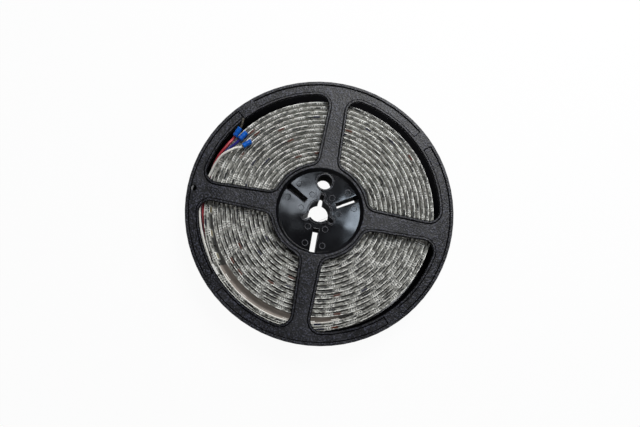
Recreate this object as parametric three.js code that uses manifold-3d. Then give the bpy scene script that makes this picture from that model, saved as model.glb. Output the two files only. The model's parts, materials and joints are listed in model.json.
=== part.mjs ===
// A five-metre LED strip light on its seven-inch reel, in millimetres, +Z up.
// The reel lies flat on its rear flange: the reel axis is Z, one spoke points along +Y,
// and the origin is the centre of the circle that the rear flange rests on.
// Angles are in degrees, counter-clockwise from +X as seen from the front flange.

import * as THREE from "three";
import { mergeVertices } from "three/addons/utils/BufferGeometryUtils.js";
import Module from "manifold-3d";

// Flanges
const flangeRadius = 89;
const flangeThickness = 1.3;
const reliefHeight = 0.5; // the rim ring, window beads and pads stand this far above the face
const rimRingWidth = 2;
const rimChamfer = 0.35;
const spokeCount = 4;
const spokeRootWidth = 15; // between two window openings, at their inner radius
const spokeTipWidth = 12; // the same at their outer radius
const rimWidth = 9; // from the flange's edge to the windows
const windowOuterCorner = 7.5;
const windowInnerCorner = 6.5;
const windowBeadWidth = 1.3;
const padHalfAngle = 3.9; // the pad that bridges bead and rim ring halfway along each window
const tieHoleRadius = 2;
const tieHoleFromEdge = 4.3;

// Hub
const hubRadius = 30.1;
const hubWall = 1.5;
const hubMouthLip = 0.7; // the hub's recess stays back this far from its outside, at the mouth
const hubFloorLip = 2.9; // and this far at its floor
const hubLedge = 2.5; // from the hub's outside to the windows
const floorDepth = 2.4; // hub floor below the outermost face
const floorThickness = 1.3;
const rimHeight = 0.4; // the raised rims round bore, key ways and round hole, above the floor
const boreRadius = 7.2;
const boreRimWidth = 1.3;
const keyWayCount = 3;
const keyWayWidth = 3.2;
const keyWayReach = 11.8;
const keyWayRimWidth = 1;
const roundHoleRadius = 5.3;
const roundHoleOffset = 20.5;
const roundHoleRimWidth = 0.8;
const startSlotWidth = 4;
const startSlotInner = 11.6;
const startSlotWall = 1.1;
const jointGap = 0.3; // between the meeting faces of the two half mouldings

// Snap posts and sockets, four round each start slot
const snapAlong = [11.2, 22.4]; // distances from the axis along the slot's line
const snapBeside = 5.8; // distance to either side of that line
const snapPinRadius = 1.2;
const snapPinReach = 3;
const snapClearance = 0.3;
const snapSocketWall = 0.7;
const snapMarkRadius = 2;
const snapMarkDepth = 0.25;

// LED strip: the circuit board is on the outside of each turn and the gel faces the hub
const stripWidth = 10;
const stripRoom = 2; // the clear width between the two flanges is this much more
const stripThickness = 2.6;
const gelShoulder = 1.3; // height of the straight edge beside the gel's dome
const gelSlope = 1.5; // how far the dome's flat top stays back from each edge
const turnGap = 0.48;
const rollMargin = 2.32; // from the tight winding's outer end to the windows' outer edge
const windingClearance = 0.4; // to the hub
const seatGap = 0.3;
const outerEndAngle = 219;
const stationsPerTurn = 30;
const rollShift = 1.2; // how far the roll's outermost turns sit off centre
const rollShiftAngle = 70;

// Where the last turns have come loose: degrees back from the strip's outer end, then how
// far its front edge and its rear edge stand outside the tight winding
const loosening = [
  [-30, 5.2, 2.6],
  [0, 5.2, 2.6],
  [20, 5.3, 2.5],
  [38, 5.2, 2.3],
  [51, 4.1, 1.8],
  [62, 3.1, 1.2],
  [77, 1.8, 0.6],
  [92, 0.7, 0.2],
  [112, 0.15, 0],
  [140, 0, 0],
  [270, 0, 0],
  [300, 0.6, 0.2],
  [331, 2.6, 0.4],
  [351, 3.9, 0.9],
  [376, 5, 1.6],
  [396, 5.1, 1.6],
  [411, 3.9, 1.1],
  [422, 2.9, 0.7],
  [437, 1.5, 0.3],
  [452, 0.4, 0],
  [472, 0, 0],
];

// Release liner that has come away from the turn behind the loose one
const linerThickness = 0.25;
const linerStart = 360; // degrees back from the strip's outer end
const linerSteps = 6; // of the strip's own stations
const linerSeat = 0.38; // from the turn that it backs
const linerLean = 0.74; // share of the gap that its front edge bridges

// Potted sleeve over the strip's outer end, where the leads are soldered on
const sleeveWall = 0.35;
const sleeveClearance = 0.3;
const sleeveOverlap = 3.6; // degrees of strip inside the sleeve
const sleeveBeyond = 2.2; // degrees of sleeve past the strip's end
const endLiftSpan = 48; // degrees over which the strip rises to hold its sleeve off the flange

// Lead wires and their insulated crimp terminals
const wireDiameter = 1.8;
const wireSides = 8;
const wireStep = 4.4;
const crimpRadius = 1.75;
const crimpLength = 6.4;
const crimpMouthTaper = 0.25;
const crimpClearance = 0.3;
const crimpSocketDepth = 2.4;
const crimpApproach = 2; // the wire runs straight over this length before its crimp
const pinRadius = 0.75;
const pinLength = 6.4;
const pinInside = 1.8;
const pinBend = 0.55; // radians
const pinSides = 10;

// Each lead: its colour, its crimp's direction as [angle, upward slope], and its route from
// the sleeve to the crimp's mouth as [angle, distance inside the windows' outer edge, height
// over the winding]
const leads = [
  {
    name: "red",
    color: 0xb02f36,
    crimp: [64, 0.28],
    route: [
      [216.2, 1.7, -7.5],
      [208, 2.4, -6.9],
      [199, 2.2, -3.8],
      [190, 2, -2.1],
      [183, 1.7, -1.9],
      [176, 1.4, -2],
      [171.6, 2.3, -1.4],
      [166.4, 2.8, 0.5],
      [161.9, 3.25, 2.6],
      [157.5, 4.1, 3.5],
      [153.2, 4.3, 2.8],
      [148.4, 3.9, 2.1],
    ],
  },
  {
    name: "blue",
    color: 0x28207e,
    crimp: [57, 0.06],
    route: [
      [216.2, 0.9, -5],
      [209, 0.3, -5.5],
      [200, 0.1, -5.8],
      [192, 0.2, -5.6],
      [184, 0.7, -5],
      [176, 1.4, -4.2],
      [171.6, 2.2, -3.6],
      [166.4, 2.6, -1.7],
      [161.9, 2.9, -0.1],
      [159.4, 3.9, 1.28],
      [156.4, 5.4, 1.38],
      [152.5, 6.9, 1.5],
      [148, 7.8, 2.1],
    ],
  },
  {
    name: "white",
    color: 0xe6e4de,
    crimp: [42, 0.02],
    route: [
      [216.2, 0.2, -2.5],
      [212, 0.6, -1.5],
      [206, 0.7, -0.5],
      [198, 0.4, 0],
      [190, 0.1, 0.2],
      [183, -0.2, 0.2],
      [176.5, 0.6, 0.3],
      [171.8, 2.55, 0.75],
      [166.4, 3.3, 2.9],
      [161.9, 4.4, 4.6],
      [158.9, 5.7, 4.9],
      [155.7, 7.5, 4.2],
      [152.4, 9.4, 3.1],
      [149.5, 11.6, 2.3],
    ],
  },
];

// Facets of the round shapes
const rimSides = 72;
const hubSides = 40;
const boreSides = 20;
const roundHoleSides = 16;
const bossSides = 8;
const snapSides = 8;
const crimpSides = 16;

// Materials
const flangeColor = 0x3c3c44;
const stripColor = 0xd2d2ca;
const linerColor = 0xa08d80;
const sleeveColor = 0xd8d8d4;
const crimpColor = 0x1258b8;
const pinColor = 0x8d8a80;

// Values worked out from the sizes above
const outwardFace = reliefHeight + flangeThickness; // a flange's inner face above its ring
const innerWidth = stripWidth + stripRoom;
const overallWidth = 2 * outwardFace + innerWidth;
const windowOuterRadius = flangeRadius - rimWidth;
const windowInnerRadius = hubRadius + hubLedge;
const jointHeight = (overallWidth - jointGap) / 2;
const floorInside = floorDepth + floorThickness;
const turnPitch = stripThickness + turnGap;
const stationStep = 360 / stationsPerTurn;
const firstTurnRadius = hubRadius + windingClearance + stripThickness;
const lastTurnRadius = windowOuterRadius - rollMargin;
const turnCount = (lastTurnRadius - firstTurnRadius) / turnPitch;
const stripSeat = outwardFace + seatGap;
const endLift = sleeveClearance + sleeveWall;
const cutMargin = 1; // how far a cutting tool runs past what it cuts
const rootOverlap = 0.3; // how far a raised feature is rooted in its base

const wasm = await Module();
wasm.setup();

const radians = THREE.MathUtils.degToRad;

function solidOf(geometry) {
  const bare = geometry.clone();
  bare.deleteAttribute("normal");
  bare.deleteAttribute("uv");
  const merged = mergeVertices(bare, 1e-4);
  const vertProperties = new Float32Array(merged.attributes.position.array);
  const triVerts = new Uint32Array(merged.index.array);
  return new wasm.Manifold(new wasm.Mesh({ numProp: 3, vertProperties, triVerts }));
}

function geometryOf(solid) {
  const mesh = solid.getMesh();
  const geometry = new THREE.BufferGeometry();
  geometry.setAttribute("position", new THREE.BufferAttribute(new Float32Array(mesh.vertProperties), 3));
  geometry.setIndex(new THREE.BufferAttribute(new Uint32Array(mesh.triVerts), 1));
  geometry.computeVertexNormals();
  return geometry;
}

// A round solid about Z from a profile of [radius, height] points
function turned(profile, segments) {
  const points = profile.map(([radius, height]) => new THREE.Vector2(radius, height));
  const geometry = new THREE.LatheGeometry(points, segments);
  geometry.rotateX(Math.PI / 2);
  return solidOf(geometry);
}

function cylinder(radius, bottom, top, segments, x = 0, y = 0) {
  const geometry = new THREE.CylinderGeometry(radius, radius, top - bottom, segments);
  geometry.rotateX(Math.PI / 2);
  geometry.translate(x, y, (bottom + top) / 2);
  return solidOf(geometry);
}

function prism(shape, bottom, top) {
  const geometry = new THREE.ExtrudeGeometry(shape, { depth: top - bottom, bevelEnabled: false });
  geometry.translate(0, 0, bottom);
  return solidOf(geometry);
}

function joined(solids) {
  return solids.reduce((all, next) => all.add(next));
}

// Copies of a solid, turned about Z to each of the angles
function copies(solid, angles) {
  return angles.map((angle) => solid.rotate([0, 0, angle]));
}

function polar(angle, radius) {
  return new THREE.Vector2(radius * Math.cos(radians(angle)), radius * Math.sin(radians(angle)));
}

function arc(center, radius, start, end, steps) {
  const points = [];
  for (let i = 0; i <= steps; i += 1) {
    points.push(polar(start + ((end - start) * i) / steps, radius).add(center));
  }
  return points;
}

const degreesOf = (vector) => THREE.MathUtils.radToDeg(Math.atan2(vector.y, vector.x));

// Outline of the window between the spokes at 0 and 90 degrees, grown outwards by `grow`
function windowShape(grow) {
  const outer = windowOuterRadius + grow;
  const inner = windowInnerRadius - grow;
  const rise = (spokeTipWidth - spokeRootWidth) / 2 / (windowOuterRadius - windowInnerRadius);
  const length = Math.hypot(1, rise);
  const offset = spokeRootWidth / 2 - rise * windowInnerRadius;
  const normal = new THREE.Vector2(-rise / length, 1 / length);
  // A corner's centre lies on a circle about the axis and at its own radius from the side
  const cornerCenter = (circle, corner) => {
    const level = offset + (corner - grow) * length;
    const a = 1 + rise * rise;
    const b = 2 * rise * level;
    const c = level * level - circle * circle;
    const x = (-b + Math.sqrt(b * b - 4 * a * c)) / (2 * a);
    return new THREE.Vector2(x, rise * x + level);
  };
  const outerCorner = windowOuterCorner + grow;
  const innerCorner = windowInnerCorner + grow;
  const outerCenter = cornerCenter(outer - outerCorner, outerCorner);
  const innerCenter = cornerCenter(inner + innerCorner, innerCorner);
  const sideFacing = degreesOf(normal) - 180;
  const outerFacing = degreesOf(outerCenter);
  const innerFacing = degreesOf(innerCenter) - 180;
  const half = [
    ...arc(new THREE.Vector2(), inner, 45, degreesOf(innerCenter), 4),
    ...arc(innerCenter, innerCorner, innerFacing, sideFacing, 4).slice(1),
    ...arc(outerCenter, outerCorner, sideFacing, outerFacing, 5),
    ...arc(new THREE.Vector2(), outer, outerFacing, 45, 7).slice(1),
  ];
  const mirrored = half.slice(1, -1).map((point) => new THREE.Vector2(point.y, point.x));
  return new THREE.Shape([...half, ...mirrored.reverse()]);
}

function padShape() {
  const middle = 45;
  const inside = arc(new THREE.Vector2(), windowOuterRadius, middle + padHalfAngle, middle - padHalfAngle, 4);
  const outside = arc(
    new THREE.Vector2(), flangeRadius - rimRingWidth + rootOverlap, middle - padHalfAngle, middle + padHalfAngle, 4,
  );
  return new THREE.Shape([...inside, ...outside]);
}

// A slot's outline along +X from one radius to another, with a round inner or outer end
function slotShape(from, to, width, roundEnd) {
  const half = width / 2;
  if (!roundEnd) {
    const corners = [[from, -half], [to, -half], [to, half], [from, half]];
    return new THREE.Shape(corners.map(([x, y]) => new THREE.Vector2(x, y)));
  }
  const end = new THREE.Vector2(to - half, 0);
  return new THREE.Shape([new THREE.Vector2(from, -half), ...arc(end, half, -90, 90, 8), new THREE.Vector2(from, half)]);
}

const spokeAngles = Array.from({ length: spokeCount }, (_, i) => (360 / spokeCount) * i);
const keyWayAngles = Array.from({ length: keyWayCount }, (_, i) => 90 + (360 / keyWayCount) * i);
const startSlotAngles = keyWayAngles.map((angle) => angle + 180 / keyWayCount);

function flange() {
  const ring = flangeRadius - rimRingWidth;
  const disc = turned([
    [0, reliefHeight],
    [ring, reliefHeight],
    [ring, 0],
    [flangeRadius - rimChamfer, 0],
    [flangeRadius, rimChamfer],
    [flangeRadius, outwardFace],
    [0, outwardFace],
  ], rimSides);
  const bead = prism(windowShape(windowBeadWidth), 0, reliefHeight + rootOverlap);
  const pad = prism(padShape(), 0, reliefHeight + rootOverlap);
  const opening = prism(windowShape(0), -cutMargin, outwardFace + cutMargin);
  const tieHole = cylinder(
    tieHoleRadius, -cutMargin, outwardFace + cutMargin, snapSides * 2, flangeRadius - tieHoleFromEdge,
  );
  const raised = [...copies(bead, spokeAngles), ...copies(pad, spokeAngles)];
  return joined([disc, ...raised]).subtract(joined([tieHole, ...copies(opening, spokeAngles)]));
}

function hubCup() {
  const outside = cylinder(hubRadius, outwardFace - rootOverlap, jointHeight, hubSides);
  return outside.subtract(cylinder(hubRadius - hubWall, floorInside, jointHeight + cutMargin, hubSides));
}

// The walls round every hole in the hub floor, before the holes are cut
function hubCollars() {
  const bottom = floorDepth - rimHeight;
  const keyWayOutline = slotShape(
    0, keyWayReach + keyWayRimWidth, keyWayWidth + 2 * keyWayRimWidth, true,
  );
  const slotOutline = slotShape(
    startSlotInner - startSlotWall, hubRadius - hubWall / 2, startSlotWidth + 2 * startSlotWall, false,
  );
  return joined([
    cylinder(boreRadius + boreRimWidth, bottom, jointHeight, boreSides),
    cylinder(roundHoleRadius + roundHoleRimWidth, bottom, jointHeight, roundHoleSides, 0, roundHoleOffset),
    ...copies(prism(keyWayOutline, bottom, jointHeight), keyWayAngles),
    ...copies(prism(slotOutline, floorDepth, jointHeight), startSlotAngles),
  ]);
}

function hubHoles() {
  const bottom = -cutMargin;
  const top = jointHeight + cutMargin;
  const keyWay = prism(slotShape(0, keyWayReach, keyWayWidth, true), bottom, top);
  const startSlot = prism(
    slotShape(startSlotInner, hubRadius + cutMargin, startSlotWidth, false), outwardFace + seatGap / 2, top,
  );
  return joined([
    cylinder(boreRadius, bottom, top, boreSides),
    cylinder(roundHoleRadius, bottom, top, roundHoleSides, 0, roundHoleOffset),
    ...copies(keyWay, keyWayAngles),
    ...copies(startSlot, startSlotAngles),
  ]);
}

// Posts stand on one side of each start slot and sockets on the other, so that a moulding
// turned over onto another meets its sockets with posts and its posts with sockets
function snapBosses() {
  const radius = snapPinRadius + snapClearance + snapSocketWall;
  const bottom = floorInside - rootOverlap;
  const pinTop = jointHeight + snapPinReach;
  const bosses = snapAlong.flatMap((along) => [
    cylinder(radius, bottom, jointHeight, bossSides, along, snapBeside),
    cylinder(radius, bottom, jointHeight, bossSides, along, -snapBeside),
    cylinder(snapPinRadius, jointHeight - rootOverlap, pinTop, snapSides, along, snapBeside),
  ]);
  return joined(copies(joined(bosses), startSlotAngles));
}

// The sockets' bores, and the shallow round marks under every boss
function snapBores() {
  const boreBottom = jointHeight - snapPinReach - snapClearance;
  const markTop = floorDepth + snapMarkDepth;
  const bores = snapAlong.flatMap((along) => [
    cylinder(
      snapPinRadius + snapClearance, boreBottom, jointHeight + cutMargin, snapSides, along, -snapBeside,
    ),
    cylinder(snapMarkRadius, floorDepth - cutMargin, markTop, bossSides, along, snapBeside),
    cylinder(snapMarkRadius, floorDepth - cutMargin, markTop, bossSides, along, -snapBeside),
  ]);
  return joined(copies(joined(bores), startSlotAngles));
}

// One half of the reel, its ring face at height 0 and its joint face on top
function halfMoulding() {
  const mouth = turned([
    [0, -cutMargin],
    [hubRadius - hubMouthLip, -cutMargin],
    [hubRadius - hubMouthLip, reliefHeight],
    [hubRadius - hubFloorLip, floorDepth],
    [0, floorDepth],
  ], hubSides);
  const shell = flange().add(hubCup()).subtract(mouth);
  return joined([shell, hubCollars(), snapBosses()]).subtract(hubHoles()).subtract(snapBores());
}

// A value between the rows of a table, along a smooth curve through them
function smoothValue(table, at, column) {
  const last = table.length - 1;
  if (at <= table[0][0]) {
    return table[0][column];
  }
  if (at >= table[last][0]) {
    return table[last][column];
  }
  const row = table.findIndex((entry) => entry[0] > at) - 1;
  const slope = (i) => {
    const before = table[Math.max(i - 1, 0)];
    const after = table[Math.min(i + 1, last)];
    return (after[column] - before[column]) / (after[0] - before[0]);
  };
  const [from, to] = [table[row], table[row + 1]];
  const span = to[0] - from[0];
  const t = (at - from[0]) / span;
  const rise = t * t * (3 - 2 * t);
  const startCurve = t * (1 - t) * (1 - t) * span * slope(row);
  const endCurve = t * t * (t - 1) * span * slope(row + 1);
  return from[column] + (to[column] - from[column]) * rise + startCurve + endCurve;
}

// Outer face of the tight winding, `back` degrees in from the strip's outer end
function windingRadius(back) {
  const radius = lastTurnRadius - (turnPitch * back) / 360;
  const share = (radius - firstTurnRadius) / (lastTurnRadius - firstTurnRadius);
  return radius + rollShift * share * Math.cos(radians(outerEndAngle + back - rollShiftAngle));
}

// The strip's outer face `back` degrees in from its outer end: radii of its two edges
function stripFace(back) {
  const tight = windingRadius(back);
  const front = tight + smoothValue(loosening, back, 1);
  const rear = tight + smoothValue(loosening, back, 2);
  return { angle: outerEndAngle + back, front, rear };
}

// A flat section that leans: `across` runs from the rear edge to the front edge of a face
// of width `width`, and `inward` away from that face towards the hub
function leaning(angle, rear, front, bottom, width, outline) {
  const sine = (front - rear) / width;
  const cosine = Math.sqrt(1 - sine * sine);
  return outline.map(([across, inward]) => {
    const flat = polar(angle, rear + across * sine - inward * cosine);
    return new THREE.Vector3(flat.x, flat.y, bottom + across * cosine + inward * sine);
  });
}

// A closed solid through a row of sections that all have the same number of corners. The two
// halves of the outline share one diagonal, so that a thin twisted sheet keeps its thickness
function loft(sections) {
  const count = sections[0].length;
  const positions = sections.flat().flatMap((point) => [point.x, point.y, point.z]);
  const index = [];
  for (let i = 0; i + 1 < sections.length; i += 1) {
    for (let j = 0; j < count; j += 1) {
      const a = i * count + j;
      const b = i * count + ((j + 1) % count);
      const c = a + count;
      const d = b + count;
      index.push(...(j * 2 < count ? [a, d, b, a, c, d] : [a, c, b, b, c, d]));
    }
  }
  const lastRow = (sections.length - 1) * count;
  for (let j = 1; j + 1 < count; j += 1) {
    index.push(0, j, j + 1);
    index.push(lastRow, lastRow + j + 1, lastRow + j);
  }
  const geometry = new THREE.BufferGeometry();
  geometry.setAttribute("position", new THREE.Float32BufferAttribute(positions, 3));
  geometry.setIndex(index);
  geometry.computeVertexNormals();
  return geometry;
}

// The strip's section, grown all round by `grow`, as [across, inward] corners
function stripOutline(grow) {
  return [
    [-grow, -grow],
    [stripWidth + grow, -grow],
    [stripWidth + grow, gelShoulder + grow / 2],
    [stripWidth - gelSlope + grow / 2, stripThickness + grow],
    [gelSlope - grow / 2, stripThickness + grow],
    [-grow, gelShoulder + grow / 2],
  ];
}

function stripSections(stations, grow) {
  const outline = stripOutline(grow);
  return stations.map((back) => {
    const face = stripFace(back);
    const rise = endLift * THREE.MathUtils.smoothstep(endLiftSpan - back, 0, endLiftSpan);
    return leaning(face.angle, face.rear, face.front, stripSeat + rise, stripWidth, outline);
  });
}

function ledStrip() {
  const steps = Math.round(turnCount * stationsPerTurn);
  const turns = Array.from({ length: steps }, (_, i) => (i + 1) * stationStep);
  return loft(stripSections([0, sleeveOverlap, ...turns], 0));
}

function solderSleeve() {
  const outside = stripSections([-sleeveBeyond, 0, sleeveOverlap], sleeveClearance + sleeveWall);
  const inside = stripSections([-sleeveClearance, sleeveOverlap, sleeveOverlap + cutMargin], sleeveClearance);
  return geometryOf(solidOf(loft(outside)).subtract(solidOf(loft(inside))));
}

function releaseLiner() {
  const sections = Array.from({ length: linerSteps + 1 }, (_, i) => {
    const back = linerStart + i * stationStep;
    const behind = stripFace(back + 360);
    const before = stripFace(back);
    const gap = before.front - stripThickness - behind.front;
    const rear = behind.rear + linerSeat + linerThickness;
    const front = Math.max(behind.front + linerSeat + linerThickness, behind.front + gap * linerLean);
    const outline = [[0, 0], [stripWidth, 0], [stripWidth, linerThickness], [0, linerThickness]];
    return leaning(behind.angle, rear, front, stripSeat, stripWidth, outline);
  });
  return loft(sections);
}

function routePoint([angle, inset, height]) {
  const flat = polar(angle, windowOuterRadius - inset);
  return new THREE.Vector3(flat.x, flat.y, stripSeat + stripWidth + height);
}

function crimpAxis([angle, slope]) {
  const flat = polar(angle, 1);
  return new THREE.Vector3(flat.x, flat.y, slope).normalize();
}

function roundSection(radius, sides) {
  return new THREE.Shape(arc(new THREE.Vector2(), radius, 0, 360 - 360 / sides, sides - 1));
}

// A wire from the sleeve into its crimp, ending short of the crimp's inner wall
function wire(lead) {
  const points = lead.route.map(routePoint);
  const mouth = points.pop();
  for (const along of [-crimpApproach, 0, crimpSocketDepth - crimpClearance]) {
    points.push(mouth.clone().addScaledVector(crimpAxis(lead.crimp), along));
  }
  const path = new THREE.CatmullRomCurve3(points, false, "centripetal");
  const steps = Math.round(path.getLength() / wireStep);
  return new THREE.ExtrudeGeometry(roundSection(wireDiameter / 2, wireSides), { steps, extrudePath: path });
}

// The insulating collar of a crimp: a round body with a socket in each end
function crimpCollar() {
  const wireBore = wireDiameter / 2 + crimpClearance;
  const pinBore = pinRadius + crimpClearance;
  const profile = [
    [0, crimpSocketDepth],
    [wireBore, crimpSocketDepth],
    [wireBore, 0],
    [crimpRadius - crimpMouthTaper, 0],
    [crimpRadius, crimpMouthTaper * 2],
    [crimpRadius, crimpLength - crimpMouthTaper],
    [crimpRadius - crimpMouthTaper, crimpLength],
    [pinBore, crimpLength],
    [pinBore, crimpLength - crimpSocketDepth],
    [0, crimpLength - crimpSocketDepth],
  ];
  return new THREE.LatheGeometry(profile.map(([x, y]) => new THREE.Vector2(x, y)), crimpSides);
}

// A pin that leaves its crimp straight and bends sideways, along +Y from the crimp's mouth
function crimpPin() {
  const straight = crimpLength - pinInside;
  const points = [new THREE.Vector3(0, straight, 0), new THREE.Vector3(0, crimpLength, 0)];
  for (const share of [0.35, 0.7, 1]) {
    const turn = pinBend * share;
    const reach = pinLength * share;
    const sideways = (reach * (1 - Math.cos(turn))) / turn;
    points.push(new THREE.Vector3(-sideways, crimpLength + (reach * Math.sin(turn)) / turn, 0));
  }
  const path = new THREE.CatmullRomCurve3(points, false, "centripetal");
  return new THREE.ExtrudeGeometry(roundSection(pinRadius, pinSides), { steps: 8, extrudePath: path });
}

function material(color, roughness, metalness = 0) {
  return new THREE.MeshStandardMaterial({ color, roughness, metalness });
}

function addMesh(parent, name, geometry, look) {
  const mesh = new THREE.Mesh(geometry, look);
  mesh.name = name;
  parent.add(mesh);
  return mesh;
}

// Stands a crimp's pieces at the end of its lead's route, with the bend kept level
function crimpFrame(lead) {
  const frame = new THREE.Group();
  const along = crimpAxis(lead.crimp);
  const level = new THREE.Vector3(along.y, -along.x, 0).normalize();
  const upward = new THREE.Vector3().crossVectors(level, along);
  frame.setRotationFromMatrix(new THREE.Matrix4().makeBasis(level, along, upward));
  frame.position.copy(routePoint(lead.route[lead.route.length - 1]));
  return frame;
}

const reel = new THREE.Group();
const flangeLook = material(flangeColor, 0.6);
const halfShape = geometryOf(halfMoulding());
addMesh(reel, "rear_half", halfShape, flangeLook);
const frontHalf = addMesh(reel, "front_half", halfShape, flangeLook.clone());
frontHalf.rotation.y = Math.PI;
frontHalf.position.z = overallWidth;
addMesh(reel, "led_strip", ledStrip(), material(stripColor, 0.35));
addMesh(reel, "release_liner", releaseLiner(), material(linerColor, 0.5));
addMesh(reel, "solder_sleeve", solderSleeve(), material(sleeveColor, 0.4));

for (const lead of leads) {
  addMesh(reel, `${lead.name}_wire`, wire(lead), material(lead.color, 0.4));
  const frame = crimpFrame(lead);
  addMesh(frame, `${lead.name}_crimp`, crimpCollar(), material(crimpColor, 0.3));
  if (lead.name === "red") {
    addMesh(frame, "red_pin", crimpPin(), material(pinColor, 0.4, 1));
  }
  reel.add(frame);
}

export default reel;
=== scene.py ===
import json
import logging
import math
from contextlib import contextmanager
from dataclasses import dataclass, field
from enum import Enum
from functools import reduce
from typing import Callable, Iterator, Sequence

import bmesh
import bpy
import numpy as np
from bmesh.types import BMEdge, BMFace
from bpy.types import Material, MeshPolygon, Node, NodeSocket, NodeTree, Object
from mathutils import Matrix, Vector

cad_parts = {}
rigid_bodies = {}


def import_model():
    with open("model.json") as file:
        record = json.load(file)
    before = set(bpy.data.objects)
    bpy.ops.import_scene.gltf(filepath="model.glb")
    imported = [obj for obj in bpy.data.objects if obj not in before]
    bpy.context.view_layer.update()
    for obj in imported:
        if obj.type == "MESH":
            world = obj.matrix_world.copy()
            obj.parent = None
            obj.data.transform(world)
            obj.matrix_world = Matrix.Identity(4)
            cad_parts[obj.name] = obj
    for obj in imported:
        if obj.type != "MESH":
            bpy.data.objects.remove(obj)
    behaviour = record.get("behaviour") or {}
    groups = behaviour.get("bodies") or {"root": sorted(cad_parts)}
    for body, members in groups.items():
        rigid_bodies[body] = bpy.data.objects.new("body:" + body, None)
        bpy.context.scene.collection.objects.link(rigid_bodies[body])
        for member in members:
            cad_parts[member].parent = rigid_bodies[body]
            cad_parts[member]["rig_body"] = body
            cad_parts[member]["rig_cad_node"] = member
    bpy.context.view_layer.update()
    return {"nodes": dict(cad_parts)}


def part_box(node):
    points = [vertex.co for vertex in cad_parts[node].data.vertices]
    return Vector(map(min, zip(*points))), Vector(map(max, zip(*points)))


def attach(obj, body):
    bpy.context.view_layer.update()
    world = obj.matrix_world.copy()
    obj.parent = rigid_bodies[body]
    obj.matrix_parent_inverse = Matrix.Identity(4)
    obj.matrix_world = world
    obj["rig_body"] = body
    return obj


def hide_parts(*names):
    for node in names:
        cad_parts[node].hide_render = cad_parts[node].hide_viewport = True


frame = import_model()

FRONT_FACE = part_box("front_half")[1].z
MM = 0.001
REEL_WIDTH = 15.6  # over both flanges, in millimetres
LIGHT_SPACING = 16.667  # from light to light along the strip, in millimetres
STRIP_BODY = 1.86  # the thickness of board and gel, in millimetres
log = logging.getLogger("led_strip_light_reel")

Triple = tuple[float, float, float]
Array = np.ndarray


class Side(Enum):
    """The two half mouldings of the reel, which are one shape turned over."""

    REAR = "rear_half"
    FRONT = "front_half"

    @property
    def label(self) -> str:
        """The half's short name."""
        return self.name.lower()

    @property
    def outward(self) -> int:
        """The way its outer face looks along Z."""
        return 1 if self is Side.FRONT else -1

    def level(self, height: float) -> float:
        """The front half's height as this half has it, in millimetres."""
        return height if self is Side.FRONT else REEL_WIDTH - height


class Lead(Enum):
    """The three leads, by the colour of their insulation."""

    RED = "red"
    BLUE = "blue"
    WHITE = "white"


# --- modelling helpers


def heading(degrees: float) -> Vector:
    """The level direction at an angle from +X."""
    return Vector((math.cos(math.radians(degrees)), math.sin(math.radians(degrees)), 0))


def deselect() -> None:
    """Leaves nothing selected and no object being edited."""
    if bpy.context.object is not None and bpy.context.object.mode != "OBJECT":
        bpy.ops.object.mode_set(mode="OBJECT")
    bpy.ops.object.select_all(action="DESELECT")


def pick(piece: Object) -> None:
    """Makes one object the only one selected, and the active one.

    Args:
        piece: The object.
    """
    deselect()
    piece.select_set(True)
    bpy.context.view_layer.objects.active = piece


@contextmanager
def editing(piece: Object) -> Iterator[None]:
    """Opens a piece in edit mode with nothing selected, and closes it afterwards.

    Args:
        piece: The object.

    Returns:
        A context in which the piece is in edit mode.
    """
    pick(piece)
    bpy.ops.object.mode_set(mode="EDIT")
    bpy.ops.mesh.select_all(action="DESELECT")
    yield
    bpy.ops.object.mode_set(mode="OBJECT")


def choose(piece: Object, kind: str, test: Callable[[object], bool]) -> int:
    """Selects the faces or edges of the piece in edit mode that pass a test.

    Args:
        piece: The object in edit mode.
        kind: "FACE" or "EDGE".
        test: Called with each bmesh face or edge.

    Returns:
        How many were selected.
    """
    bpy.ops.mesh.select_mode(type=kind)
    bpy.ops.mesh.select_all(action="DESELECT")
    mesh = bmesh.from_edit_mesh(piece.data)
    found = [part for part in (mesh.faces if kind == "FACE" else mesh.edges) if test(part)]
    for part in found:
        part.select_set(True)
    mesh.select_flush_mode()
    bmesh.update_edit_mesh(piece.data)
    return len(found)


def take(name: str) -> Object:
    """Applies the transform of the primitive just added, names it and returns it.

    Args:
        name: Its name.

    Returns:
        The primitive.
    """
    bpy.ops.object.transform_apply(location=True, rotation=True, scale=True)
    made = bpy.context.object
    made.name = made.data.name = name
    return made


def block(name: str, low: Triple, high: Triple) -> Object:
    """Adds a box between two corners, in millimetres, ready to be shaped.

    Args:
        name: Its name.
        low: The corner with the smallest X, Y and Z.
        high: The opposite corner.

    Returns:
        The box.
    """
    deselect()
    bpy.ops.mesh.primitive_cube_add(size=1, location=[(a + b) / 2 * MM for a, b in zip(low, high)],
                                    scale=[(b - a) * MM for a, b in zip(low, high)])
    return take(name)


def paint(piece: Object, material: Material, test: Callable[[object], bool] | None = None) -> None:
    """Gives a material to all faces of a piece, or to those that pass a test.

    Args:
        piece: The object.
        material: The material.
        test: Called with each polygon, or None for all.
    """
    names = [m.name for m in piece.data.materials]
    if material.name not in names:
        piece.data.materials.append(material)
        names.append(material.name)
    index = names.index(material.name)
    for face in piece.data.polygons:
        if test is None or test(face):
            face.material_index = index


def join(pieces: Sequence[Object], name: str) -> Object:
    """Joins pieces into one object and returns it.

    Args:
        pieces: The objects, at least one.
        name: The name of the whole.

    Returns:
        The joined object.
    """
    deselect()
    for piece in pieces:
        piece.select_set(True)
    bpy.context.view_layer.objects.active = pieces[0]
    if len(pieces) > 1:
        bpy.ops.object.join()
    pieces[0].name = pieces[0].data.name = name
    return pieces[0]


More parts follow.
